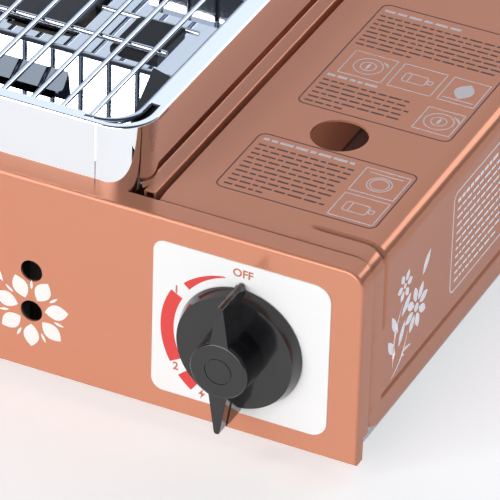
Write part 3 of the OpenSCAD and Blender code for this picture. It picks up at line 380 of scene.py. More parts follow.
def settle(piece):
    # applies the piece's modifiers to its mesh
    depsgraph = bpy.context.evaluated_depsgraph_get()
    mesh = bpy.data.meshes.new_from_object(piece.evaluated_get(depsgraph))
    piece.modifiers.clear()
    old, piece.data = piece.data, mesh
    bpy.data.meshes.remove(old)
    return piece


def thicken(name, bm, thickness):
    # a mid surface becomes sheet
    piece = toObject(name, bm)
    wall = piece.modifiers.new("wall", "SOLIDIFY")
    wall.thickness = thickness
    wall.offset = 0.0
    wall.use_even_offset = True
    return settle(piece)


def cutWith(piece, bm, operation="DIFFERENCE"):
    cutter = toObject("cutter", bm)
    cut = piece.modifiers.new("cut", "BOOLEAN")
    cut.operation = operation
    cut.solver = "EXACT"
    cut.use_self = True
    cut.object = cutter
    settle(piece)
    bpy.data.objects.remove(cutter)
    return piece


def dress(piece, body, slotName, replaced=(), sharpAngle=35, paint=None):
    mesh = piece.data
    mesh.materials.clear()
    mesh.materials.append(paints[paint or slotName])
    bm = bmesh.new()
    bm.from_mesh(mesh)
    limit = math.radians(sharpAngle)
    for face in bm.faces:
        face.smooth = True
        face.material_index = 0
    for edge in bm.edges:
        edge.smooth = len(edge.link_faces) == 2 and edge.calc_face_angle(0) < limit
    bm.to_mesh(mesh)
    bm.free()
    weigh = piece.modifiers.new("faceWeight", "WEIGHTED_NORMAL")
    weigh.keep_sharp = True
    weigh.weight = 100
    settle(piece)
    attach(piece, body)
    if replaced:
        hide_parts(*replaced)


print("helpers ready")


placeCamera()
makeWorld()
addLamp("keyLamp")
addLamp("edgeLamp")
addLamp("bayLamp", False)  # light that finds its way into the bay and shows in the lid's window
layFloor()
bpy.context.scene.view_settings.view_transform = "Standard"
print("camera, light and floor set")


def spread(pair, axis, at):
    # a point of a flat outline in space, at a place along the axis that the outline lacks
    spot = "XYZ".index(axis)
    return (*pair[:spot], at, *pair[spot:])


def alongAxis(axis, length):
    return Vector([length if axis == name else 0 for name in "XYZ"])


def flatPlate(bm, corners, axis, at):
    # one flat face that the axis passes through
    return bm.faces.new([bm.verts.new(spread(pair, axis, at)) for pair in corners])


def boxOutline(nearA, nearB, farA, farB):
    return [(nearA, nearB), (farA, nearB), (farA, farB), (nearA, farB)]


def bevel(bm, geom, radius, segments, affect):
    bmesh.ops.bevel(bm, geom=list(geom), offset=radius, offset_type="OFFSET", segments=segments,
                    profile=0.5, affect=affect, material=-1, clamp_overlap=affect == "EDGES")


def roundCorners(bm, verts, radius, segments=8):
    bevel(bm, verts, radius, segments, "VERTICES")


def roundFold(bm, edges, radius, segments=3):
    bevel(bm, edges, radius, segments, "EDGES")


def edgesWhere(edges, holds):
    # the edges whose two ends both pass a test
    return [edge for edge in edges if all(holds(vert.co) for vert in edge.verts)]


def foldEdges(bm):
    return [edge for edge in bm.edges if len(edge.link_faces) == 2]


def boundaryEdges(bm):
    return [edge for edge in bm.edges if len(edge.link_faces) == 1]


def facing(bm, axis):
    spot = "XYZ".index(axis)
    return [face for face in bm.faces if face.normal[spot] > straight]


def same(first, second):
    return abs(first - second) < tiny


def made(result, kind):
    return [item for item in result["geom"] if isinstance(item, kind)]


def pullEdges(bm, edges, vector):
    verts = made(bmesh.ops.extrude_edge_only(bm, edges=list(edges)), bmesh.types.BMVert)
    shift(bm, vector, verts)
    return verts


def pullFace(bm, faces, vector):
    shift(bm, vector, made(bmesh.ops.extrude_face_region(bm, geom=list(faces)),
                           bmesh.types.BMVert))
    return bm


def pullSection(section, axis, start, end):
    # an open bent line pulled along an axis, as a mid surface
    bm = bmesh.new()
    verts = [bm.verts.new(spread(pair, axis, start)) for pair in section]
    edges = [bm.edges.new(pair) for pair in zip(verts, verts[1:])]
    pullEdges(bm, edges, alongAxis(axis, end - start))
    return bm


def pullPlate(outline, axis, start, end):
    bm = bmesh.new()
    flatPlate(bm, outline, axis, start)
    return pullFace(bm, bm.faces, alongAxis(axis, end - start))


def roundedBlock(near, far, inX, inY, z, height, radius, segments):
    # an upright block over a box's plan, set in from it, with round corners
    bm = bmesh.new()
    flatPlate(bm, boxOutline(near.x + inX, near.y + inY, far.x - inX, far.y - inY), "Z", z)
    roundCorners(bm, bm.verts, radius, segments)
    return pullFace(bm, bm.faces, (0, 0, height))


def crossCut(bm, axis, at, faces, drop=None):
    # a straight cut, which may drop the side beyond it or before it
    faces = list(bm.faces) if faces is None else list(faces)
    geom = set(faces)
    for face in faces:
        geom.update(face.edges)
        geom.update(face.verts)
    bmesh.ops.bisect_plane(bm, geom=list(geom), plane_co=alongAxis(axis, at),
                           plane_no=alongAxis(axis, 1), dist=finest,
                           clear_outer=drop == "outer", clear_inner=drop == "inner")


def roundHole(bm, axis, centre, radius, depth, segments=48):
    reach = alongAxis(axis, depth)
    return rodAlong(bm, Vector(centre) - reach, Vector(centre) + reach, radius, segments)


def longHole(bm, axis, along, centre, wide, tall, depth, segments=24, above=None):
    # a slot with round ends through the sheet: a box and two round holes
    reach = [depth if name == axis else (wide - tall if name == along else tall) / 2
             for name in "XYZ"]
    near = [place - part for place, part in zip(centre, reach)]
    far = [place + part for place, part in zip(centre, reach)]
    if above:
        far["XYZ".index(axis)] = centre["XYZ".index(axis)] + above
    boxCorners(bm, near, far)
    spot = "XYZ".index(along)
    for corner in (near, far):
        end = list(centre)
        end[spot] = corner[spot]
        roundHole(bm, axis, end, tall / 2, depth, segments)


casing = {
    "sheet": 1.0, "flange": 10.0, "cornerRadius": 8.0, "foldRadius": 1.4, "ventRadius": 4.7,
    "spindleHole": 5.4, "cutDepth": 3.0, "returnStep": (6, 10), "returnDepth": 14,
    "slotCount": 7, "slotPitch": 36.0, "slotWide": 26.0, "slotTall": 5.0, "slotUp": 62.0,
    "slotDepth": 4.0, "ventX": -139.6, "ventZ": (27.5, 46.1), "spindle": (-49.7, 40.5),
}
spindleX, spindleZ = casing["spindle"]
spindleAt = fromCorner(spindleX, 0, spindleZ)


def endPanel(name, faceY, step):
    # a folded end panel: face, round upper corners and a flange all round
    size, half, near, far = begin(name, casing)
    floorZ, topZ = near.z + half, far.z - half
    middleY = faceY + step * half
    bm = bmesh.new()
    flatPlate(bm, boxOutline(near.x + half, floorZ, far.x - half, topZ), "Y", middleY)
    upper = [vert for vert in bm.verts if vert.co.z > (floorZ + topZ) / 2]
    roundCorners(bm, upper, size.cornerRadius - half, 9)
    pullEdges(bm, bm.edges, (0, step * (size.flange - half), 0))
    folds = edgesWhere(foldEdges(bm), lambda co: same(co.y, middleY))
    roundFold(bm, folds, size.foldRadius - half, 4)
    return thicken(name.replace("_p", "P"), bm, size.sheet)


def makeFrontPanel():
    size = metres(casing)
    panel = endPanel("front_panel", frontLeft.y, 1)
    cutter = bmesh.new()
    for z in casing["ventZ"]:
        vent = fromCorner(casing["ventX"], 0, z)
        roundHole(cutter, "Y", vent, size.ventRadius, size.cutDepth)
    roundHole(cutter, "Y", spindleAt, size.spindleHole, size.cutDepth)
    stepY, stepZ = casing["returnStep"]
    boxCorners(cutter, fromCorner(-2, stepY, -2), fromCorner(2, casing["returnDepth"], stepZ))
    dress(cutWith(panel, cutter), "casing", "copper_paint", ["front_panel"])


def makeRearPanel():
    size = metres(casing)
    backY = high("rear_panel").y
    panel = endPanel("rear_panel", backY, -1)
    cutter = bmesh.new()
    skirtMiddle = (low("wind_skirt").x + high("wind_skirt").x) / 2
    for index in range(size.slotCount):
        x = skirtMiddle + (index - (size.slotCount - 1) / 2) * size.slotPitch
        longHole(cutter, "Y", "X", (x, backY, frontRight.z + size.slotUp), size.slotWide,
                 size.slotTall, size.slotDepth)
    dress(cutWith(panel, cutter), "casing", "copper_paint", ["rear_panel"])


def makeLeftSide():
    size, half, near, far = begin("left_side", casing)
    x0, x1, z0, z1 = near.x + half, far.x, near.z + half, far.z - half
    bm = pullSection([(x1, z0), (x0, z0), (x0, z1), (x1, z1)], "Y", near.y, far.y)
    upper = [edge for edge in foldEdges(bm) if edge.verts[0].co.z > (z0 + z1) / 2]
    lower = [edge for edge in foldEdges(bm) if edge.verts[0].co.z < (z0 + z1) / 2]
    roundFold(bm, upper, size.cornerRadius - half, 9)
    roundFold(bm, [edge for edge in lower if edge.is_valid], size.foldRadius - half, 3)
    dress(thicken("leftSide", bm, size.sheet), "casing", "copper_paint", ["left_side"])


makeFrontPanel()
makeRearPanel()
makeLeftSide()
print("casing folded")


bayLid = {
    "sheet": 1.0, "edgeRadius": 9.0, "foldRadius": 1.3, "band": 8.0, "lowCorner": 10.0,
    "lowReturn": 2.2, "leftFold": 6.5, "notch": 5.6, "sideGap": 0.8, "topGap": 1.0,
    "windowRadius": 11.5, "pinHole": 1.55, "pinDepth": 2.0, "hingeX": 4.0, "hingeDown": 4.5,
    "grooveWidth": 2.0, "grooveDepth": 1.1, "topFade": 6.0, "lowFade": 3.4, "sideFade": 5.0,
    "topStep": 0.9, "lowStep": 0.6, "sideStep": 0.8, "windowDepth": 3.0, "spare": 20.0,
    "endWall": 0.9999, "downward": -0.01, "wallTurn": 0.05,  # limits for a normal's parts
    "margin": 0.1, "sharpTurn": 1.2, "halfCuts": 7, "topCuts": 9, "lowCuts": 8, "sideCuts": 9,
    "window": (-50.0, 85.3), "grooveStart": (-35, 22.7, 48.7), "sideGroove": (0, 21.0, 17.8),
}
lidTop = panelTop - bayLid["topGap"] * mm


def easeStep(value):
    value = min(max(value, 0.0), 1.0)
    return value * value * (3 - 2 * value)


def hump(across, width):
    return 0.5 * (1 + math.cos(math.pi * across / width))


def makeLid():
    size, half, near, far = begin("lid", bayLid)
    x0, x1 = near.x + half, frontRight.x - size.sideGap - half
    y0, y1 = near.y + half, far.y - half
    z0, z1 = near.z, lidTop - half
    cornerRadius = size.lowCorner - half
    bm = boxCorners(bmesh.new(), (x0 - size.spare, y0, z0), (x1, y1, z1))
    roundFold(bm, [edge for edge in edgesWhere(bm.edges, lambda co: same(co.z, z0))
                   if same(edge.verts[0].co.y, edge.verts[1].co.y)], cornerRadius, 7)
    roundFold(bm, edgesWhere(bm.edges, lambda co: same(co.z, z1) and same(co.x, x1)),
              size.edgeRadius - half, 10)
    bm.normal_update()
    unwanted = [face for face in bm.faces if face.normal.z < -straight
                or face.normal.x < -straight or abs(face.normal.y) > bayLid["endWall"]]
    bmesh.ops.delete(bm, geom=unwanted, context="FACES")
    crossCut(bm, "X", x0, None, "inner")
    downward = bayLid["downward"]
    arcs = [face for face in bm.faces if face.normal.z < downward]
    crossCut(bm, "X", x1 - size.lowReturn, arcs, "inner")
    bm.normal_update()
    # the end walls turn down from the top and in from the side

    def spotOf(vert):
        return tuple(round(value, 6) for value in vert.co)

    for endY in (y0, y1):
        edges = [edge for edge in edgesWhere(boundaryEdges(bm), lambda co: same(co.y, endY))
                 if max(vert.co.z for vert in edge.verts) > z0 + cornerRadius + slack]
        inward = {}
        for vert in {vert for edge in edges for vert in edge.verts}:
            normals = [face.normal for face in vert.link_faces if face.normal.z > downward]
            inward[spotOf(vert)] = sum(normals, Vector()).normalized()
        for vert in pullEdges(bm, edges, (0, 0, 0)):
            vert.co -= inward[spotOf(vert)] * size.band
    bm.normal_update()
    folds = [edge for edge in foldEdges(bm) if edge.calc_face_angle(0) > bayLid["sharpTurn"]]
    roundFold(bm, folds, size.foldRadius - half, 3)
    # cuts that let the grooves and the left fold follow the sheet
    width = size.grooveWidth
    startX, grooveY, endZ = fromCorner(*bayLid["grooveStart"])
    sideStart, sideZ = fromCorner(*bayLid["sideGroove"]).yz
    ripples = [width * (step / size.halfCuts - 1) for step in range(2 * size.halfCuts + 1)]

    def both(places):
        # places near the front wall and their mirrored ones near the rear wall
        return [y for place in places for y in (place, y0 + y1 - place)]

    def steps(start, step, count):
        return [start + index * step for index in range(count)]

    for axis, side, places in (
            ("Y", None, both([grooveY + ripple for ripple in ripples] + [y0 + size.notch])),
            ("X", "Z", steps(startX, size.topStep, size.topCuts)),
            ("Z", "X", [sideZ + ripple for ripple in ripples]
             + steps(endZ, size.lowStep, size.lowCuts)),
            ("Y", "X", both(steps(sideStart, size.sideStep, size.sideCuts)))):
        for place in places:
            crossCut(bm, axis, place, facing(bm, side) if side else None)
    bm.normal_update()
    for vert in bm.verts:
        if abs(vert.normal.y) > bayLid["wallTurn"]:
            continue
        x, y, z = vert.co
        across = min(abs(y - grooveY), abs(y0 + y1 - grooveY - y))
        depth = 0.0
        if across < width and vert.normal.z > downward:
            depth = (hump(across, width) * easeStep((x - startX) / size.topFade)
                     * easeStep((z - endZ) / size.lowFade))
        if vert.normal.x > straight and abs(z - sideZ) < width:
            along = min(y - sideStart, y0 + y1 - sideStart - y)
            depth = max(depth, hump(z - sideZ, width) * easeStep(along / size.sideFade))
        vert.co -= vert.normal * depth * size.grooveDepth
    edge0, edge1 = y0 + size.notch - size.margin, y1 - size.notch + size.margin
    leftEdges = edgesWhere(boundaryEdges(bm), lambda co: same(co.x, x0)
                           and co.z > z1 - size.margin and edge0 < co.y < edge1)
    pullEdges(bm, leftEdges, (0, 0, half - size.leftFold))
    lid = thicken("cartridgeLid", bm, size.sheet)
    cutter = bmesh.new()
    windowAt = fromCorner(*bayLid["window"], 0)
    roundHole(cutter, "Z", (windowAt.x, windowAt.y, z1), size.windowRadius, size.windowDepth, 64)
    for y in (y0, y1):
        roundHole(cutter, "Y", (near.x + size.hingeX, y, lidTop - size.hingeDown), size.pinHole,
                  size.pinDepth, 24)
    dress(cutWith(lid, cutter), "lid", "copper_paint", ["lid"])


channel = {
    "sheet": 1.0, "width": 5.0, "leg": 5.0, "foot": 8.0, "foldRadius": 1.1, "slotCount": 5,
    "slotPitch": 36.0, "slotFirst": 72.0, "slotUp": 40.0, "slotWide": 24.0, "slotTall": 5.0,
    "cutDepth": 3.0, "pipeHole": (25, 40, 4, 32), "leadHole": (31, 24, 2.2, 24),
}


def makeDivider():
    size, half, near, far = begin("divider", channel)
    wallX, topZ, legX = far.x - size.width + half, far.z - half, far.x - half
    bm = pullSection([(wallX - half - size.foot, near.z + half), (wallX, near.z + half),
                      (wallX, topZ), (legX, topZ), (legX, far.z - size.leg)], "Y", near.y, far.y)
    roundFold(bm, foldEdges(bm), size.foldRadius - half, 4)
    cutter = bmesh.new()
    for index in range(size.slotCount):
        y = frontLeft.y + size.slotFirst + index * size.slotPitch
        longHole(cutter, "X", "Y", (wallX, y, near.z + size.slotUp), size.slotWide,
                 size.slotTall, size.cutDepth)
    for y, z, radius, segments in (channel["pipeHole"], channel["leadHole"]):
        roundHole(cutter, "X", (wallX, frontLeft.y + y * mm, z * mm), radius * mm, size.cutDepth,
                  segments)
    divider = cutWith(thicken("bayDivider", bm, size.sheet), cutter)
    dress(divider, "casing", "copper_paint", ["divider"])


skirt = {
    "sheet": 0.8, "radius": 16.5, "edgeRadius": 1.0, "rimFront": 5.6, "rimSide": 7.2,
    "rimCorner": 2.6, "openingRadius": 4.0, "reliefX": 25.0, "reliefY": 23.0, "cutDepth": 3.0,
    "past": 10.0, "furtherPast": 12.0, "seamWide": 0.3, "seamX": -116,
}


def makeSkirt():
    size, half, near, far = begin("wind_skirt", skirt)
    bm = roundedBlock(near, far, half, half, near.z, far.z - near.z - half, size.radius - half, 14)
    bmesh.ops.delete(bm, geom=[face for face in bm.faces
                               if same(face.calc_center_median().z, near.z)], context="FACES_ONLY")
    topEdges = edgesWhere(bm.edges, lambda co: same(co.z, far.z - half))
    roundFold(bm, topEdges, size.edgeRadius - half, 4)
    ring = thicken("windSkirt", bm, size.sheet)
    level, height = far.z - size.cutDepth, 2 * size.cutDepth
    cutWith(ring, roundedBlock(near, far, size.rimSide, size.rimFront, level, height,
                               size.openingRadius, 6))
    # the rim is narrower round the corners
    corners = roundedBlock(near, far, size.rimCorner, size.rimCorner, level, height,
                           size.radius - size.rimCorner, 14)
    cross = bmesh.new()
    for inX, inY, past in ((-size.past, size.reliefY, size.past),
                           (size.reliefX, -size.past, size.furtherPast)):
        boxCorners(cross, (near.x + inX, near.y + inY, level - past),
                   (far.x - inX, far.y - inY, level + size.past + past))
    cutWith(ring, toMesh(cutWith(toObject("cornerReliefs", corners), cross)))
    seamAt = fromCorner(skirt["seamX"], 0, 0).x
    cutWith(ring, boxCorners(bmesh.new(), (seamAt - size.seamWide / 2, near.y - mm, near.z - mm),
                             (seamAt + size.seamWide / 2, near.y + mm, far.z - mm)))
    dress(ring, "skirt", "skirt_chrome", ["wind_skirt"])


makeLid()
makeDivider()
makeSkirt()
print("lid, divider and skirt made")


grip = {
    "back": -1.0, "discRadius": 26.1, "discFaceRadius": 24.4, "discDepth": 5.2, "reach": 20.0,
    "hubRadius": 12.0, "hubEdge": 0.8, "hubStart": 4.5, "ringOuter": 5.7, "ringInner": 5.35,
    "ringDepth": 0.35, "recessRadius": 22.0, "recessDepth": 3.7, "boreRadius": 3.02,
    "boreEnd": 3.5, "wingHalf": 3.9, "tipHalf": 1.1, "wingReach": 29.0, "wingIn": 1.0,
    "wingShort": 0.3, "fillet": 0.22, "softAngle": 38, "stepDepth": 6.5, "stepOut": 0.45,
    "stepShort": 0.1, "tipShare": 0.8, "stepShare": 0.985,  # shares of a half width and a height
}


def makeKnob():
    size = metres(grip)
    backY = frontLeft.y + size.back
    discY = backY - size.discDepth
    faceY = frontLeft.y - size.reach
    stepY = discY - size.stepDepth
    hubY = backY - size.hubStart

    def disc(radius, fromY, toY, segments, faceRadius=None):
        # a round block whose axis runs front to back
        return rodAlong(bmesh.new(), (spindleAt.x, fromY, spindleAt.z),
                        (spindleAt.x, toY, spindleAt.z), radius, segments, faceRadius)

    knob = toObject("controlKnob", disc(size.discRadius, backY, discY, 96, size.discFaceRadius))
    hub = disc(size.hubRadius, hubY, faceY, 72)
    roundFold(hub, edgesWhere(hub.edges, lambda co: same(co.y, faceY)), size.hubEdge, 3)
    wide, tip, reach = size.wingHalf, size.tipHalf, size.wingReach
    inner = size.hubRadius - size.wingIn
    outline = [(-wide, inner), (-tip, reach), (tip, reach), (wide, inner),
               (wide, -inner), (tip, -reach), (-tip, -reach), (-wide, -inner)]
    wings = bmesh.new()
    flatPlate(wings, [(spindleAt.x + x, spindleAt.z + z) for x, z in outline], "Y", backY)
    tips = [vert for vert in wings.verts if abs(vert.co.z - spindleAt.z) > reach - slack]
    roundCorners(wings, tips, tip * grip["tipShare"], 4)
    pullFace(wings, wings.faces, (0, faceY + size.wingShort - backY, 0))
    # the rear part of hub and grip stands out by a fine step
    out, share = size.stepOut, grip["stepShare"]
    rear = disc(size.hubRadius + out, hubY, stepY, 72)
    rearOutline = [(spindleAt.x + x + math.copysign(out, x), spindleAt.z + z * share)
                   for x, z in outline]
    rearWings = pullPlate(rearOutline, "Y", backY - mm, stepY + size.stepShort - mm)
    for solid in (hub, wings, rear, rearWings):
        cutWith(knob, solid, "UNION")
    cutWith(knob, disc(size.recessRadius, backY + mm, backY + mm - size.recessDepth, 64))
    cutWith(knob, disc(size.boreRadius, backY, faceY + size.boreEnd, 32))
    ring = toObject("ringGroove", disc(size.ringOuter, faceY - mm, faceY + size.ringDepth, 64))
    island = disc(size.ringInner, faceY - 2 * mm, faceY + size.ringDepth + mm, 64)
    cutWith(knob, toMesh(cutWith(ring, island)))
    soften = knob.modifiers.new("soften", "BEVEL")
    soften.width = size.fillet
    soften.segments = 2
    soften.limit_method = "ANGLE"
    soften.angle_limit = math.radians(size.softAngle)
    soften.miter_outer = "MITER_ARC"
    dress(settle(knob), "control", "black_gloss", ["knob"], 50)


dial = {
    "thickness": 0.4, "leftRadius": 5.0, "rightRadius": 7.0, "rimRadius": 0.12, "nutHole": 8.5,
    "cutDepth": 2.0, "near": (-87.3, 0, 9.3), "far": (-12.8, 0, 77.9), "letterSize": 4.9,
    "arcs": ((13.8, 49.6, 29.7, 30.2, 28.9, 32.3), (61.0, 119.3, 28.4, 34.0, 28.4, 34.0),
             (130.0, 143.0, 28.4, 34.0, 28.4, 34.0)),  # angles, inner and outer radius twice
    "arcSteps": 24, "legends": (("OFF", -49.5, 73.2), ("1", -77.2, 57.6), ("2", -76.9, 22.2)),
    "spark": (-65.5, 13.0), "sparkOutline": ((0.6, 2.4), (-1.5, -0.3), (-0.2, -0.3),
                                             (-0.6, -2.4), (1.5, 0.4), (0.2, 0.4)),
}


def makeDialPlate():
    size = metres(dial)
    near, far = fromCorner(*dial["near"]), fromCorner(*dial["far"])
    bm = bmesh.new()
    flatPlate(bm, boxOutline(near.x, near.z, far.x, far.z), "Y", near.y)
    middle = (near.x + far.x) / 2
    roundCorners(bm, [vert for vert in bm.verts if vert.co.x < middle], size.leftRadius)
    roundCorners(bm, [vert for vert in bm.verts if same(vert.co.x, far.x)], size.rightRadius, 10)
    pullFace(bm, bm.faces, (0, -size.thickness, 0))
    roundFold(bm, edgesWhere(bm.edges, lambda co: co.y < near.y - slack), size.rimRadius, 2)
    plate = cutWith(toObject("dialPlate", bm),
                    roundHole(bmesh.new(), "Y", spindleAt, size.nutHole, size.cutDepth))
    dress(plate, "casing", "white_plate", ["dial_plate"])


makeKnob()
makeDialPlate()
print("knob and dial plate made")


net = {"barRadius": 1.1, "barCount": 20, "barPitch": 12.7, "barRound": 0.25, "frameRadius": 1.4,
       "frameCorner": 14.0, "bendSteps": 10, "crossRadius": 1.2, "crossRound": 0.3, "sides": 14}


def straightWires(name, node, rods, radius, endRound):
    bm = bmesh.new()
    for start, end in rods:
        rodAlong(bm, start, end, radius, net["sides"])
    roundFold(bm, [edge for edge in foldEdges(bm)
                   if any(len(face.verts) > 4 for face in edge.link_faces)], endRound, 2)
    bmesh.ops.recalc_face_normals(bm, faces=bm.faces)
    dress(toObject(name, bm, 0), "net", "wire_steel", [node], 60)


def makeNetWires():
    size = metres(net)
    near, far = ends("net_bars")
    middle = (near.z + far.z) / 2
    bars = [near.x + size.barRadius + index * size.barPitch for index in range(size.barCount)]
    straightWires("netBars", "net_bars", [((x, near.y, middle), (x, far.y, middle)) for x in bars],
                  size.barRadius, size.barRound)
    near, far = ends("net_cross_wires")
    radius = size.crossRadius
    z = near.z + radius
    straightWires("netCrossWires", "net_cross_wires",
                  [((near.x, y, z), (far.x, y, z)) for y in (near.y + radius, far.y - radius)],
                  radius, size.crossRound)


def makeNetFrame():
    # one wire bent round: a section swept by pulls and spins
    size = metres(net)
    near, far = ends("net_frame")
    radius, bend = size.frameRadius, size.frameCorner
    z = (near.z + far.z) / 2
    x0, x1, y0, y1 = near.x + radius, far.x - radius, near.y + radius, far.y - radius
    bm = bmesh.new()
    bmesh.ops.create_circle(bm, cap_ends=False, segments=size.sides, radius=radius)
    turn(bm, Matrix.Rotation(math.pi / 2, 3, "Y"))
    shift(bm, (x0 + bend, y0, z))
    loop = list(bm.edges)
    runX, runY = x1 - x0 - 2 * bend, y1 - y0 - 2 * bend
    for vector, x, y in (((runX, 0, 0), x1 - bend, y0 + bend), ((0, runY, 0), x1 - bend, y1 - bend),
                         ((-runX, 0, 0), x0 + bend, y1 - bend),
                         ((0, -runY, 0), x0 + bend, y0 + bend)):
        pulled = bmesh.ops.extrude_edge_only(bm, edges=loop)
        shift(bm, vector, made(pulled, bmesh.types.BMVert))
        loop = [edge for edge in made(pulled, bmesh.types.BMEdge) if len(edge.link_faces) == 1]
        verts = {vert for edge in loop for vert in edge.verts}
        spun = bmesh.ops.spin(bm, geom=loop + list(verts), cent=(x, y, z), axis=(0, 0, 1),
                              angle=math.pi / 2, steps=size.bendSteps, use_duplicate=False)
        loop = [item for item in spun["geom_last"] if isinstance(item, bmesh.types.BMEdge)]
    dress(toObject("netFrame", bm), "net", "wire_steel", ["net_frame"], 60)


makeNetWires()
makeNetFrame()
print("net made")


cornerPlate = {
    "sheet": 1.2, "startY": 14.9, "wallFrom": 3.0, "wallTo": 30.0, "wallDown": 12.6,
    "lipDown": 1.8, "lipFrom": 31.0, "foldRadius": 0.9, "wallLeast": 20.0,
    "points": ((-1.0, 0.3), (-11.5, 0.3), (-21.2, 38.8), (-12.7, 36.0), (-1.4, 32.6)),
}


def makeCornerPlates():
    size, half, near, far = begin("wind_skirt", cornerPlate)
    level = high("net_brackets").z - half
    wallX = -(skirt["sheet"] * mm + half)
    startY = size.startY
    points = [(x * mm, y * mm + startY) for x, y in size.points]
    outline = points[:4] + [(wallX, points[4][1]), (wallX, size.wallTo + startY),
                            (wallX, size.wallFrom + startY), (wallX, points[0][1])]
    bm = bmesh.new()
    for sideX, sideY in ((1, 1), (1, -1), (-1, 1), (-1, -1)):
        part = bmesh.new()
        cornerX = far.x if sideX > 0 else near.x
        cornerY = near.y if sideY > 0 else far.y
        plan = [(cornerX + sideX * x, cornerY + sideY * y) for x, y in outline]
        flatPlate(part, plan, "Z", level)
        lips, walls = [], []
        for edge in part.edges:
            spots = [((vert.co.x - cornerX) * sideX, (vert.co.y - cornerY) * sideY)
                     for vert in edge.verts]
            if all(same(x, wallX) for x, y in spots):
                if abs(spots[0][1] - spots[1][1]) > size.wallLeast:
                    walls.append(edge)
            elif min(y for x, y in spots) > startY + size.lipFrom:
                lips.append(edge)
        pullEdges(part, walls, (0, 0, -size.wallDown))
        pullEdges(part, lips, (0, 0, -size.lipDown))
        folds = edgesWhere(foldEdges(part), lambda co: same(co.z, level))
        roundFold(part, folds, size.foldRadius - half / 2, 3)
        bmesh.ops.recalc_face_normals(part, faces=part.faces)
        spare = bpy.data.meshes.new("cornerPart")
        part.to_mesh(spare)
        part.free()
        bm.from_mesh(spare)
        bpy.data.meshes.remove(spare)
    dress(thicken("cornerPlates", bm, size.sheet), "skirt", "black_enamel", ["net_brackets"])


tray = {
    "sheet": 1.0, "cornerRadius": 14.0, "deckDepth": 109.2, "deckFold": 3.6, "troughFold": 3.0,
    "rim": 4.0, "burnerGap": 1.5, "openingRadius": 2.0, "slotCount": 5, "slotWide": 25.0,
    "slotTall": 4.0, "slotPitch": 28.0, "slotIn": 8.0, "cutDepth": 4.0, "cutAbove": 2.0,
    "coverIn": 4.0, "rivetX": 3.0, "rivetY": 2.0, "rivetRadius": 1.02, "flapWidth": 157.0,
    "flapFlare": 2.7, "flapLength": 11.4, "flapSlope": 15, "flapRoot": 6.3, "flapRadius": 3.0,
    "flapHole": (3.0, 8.5, 9.5, 0.5), "stripY": 34.6, "stripRadius": 1.2, "stripSink": 0.2,
    "stripBefore": 25.0, "stripBeyond": 26.0, "past": 10.0,
    "mitre": 0.414, "overlap": 0.9,  # shares of half the sheet
    "halfTurn": 22.5, "sharpTurn": 0.5, "flapTip": 0.9,
}


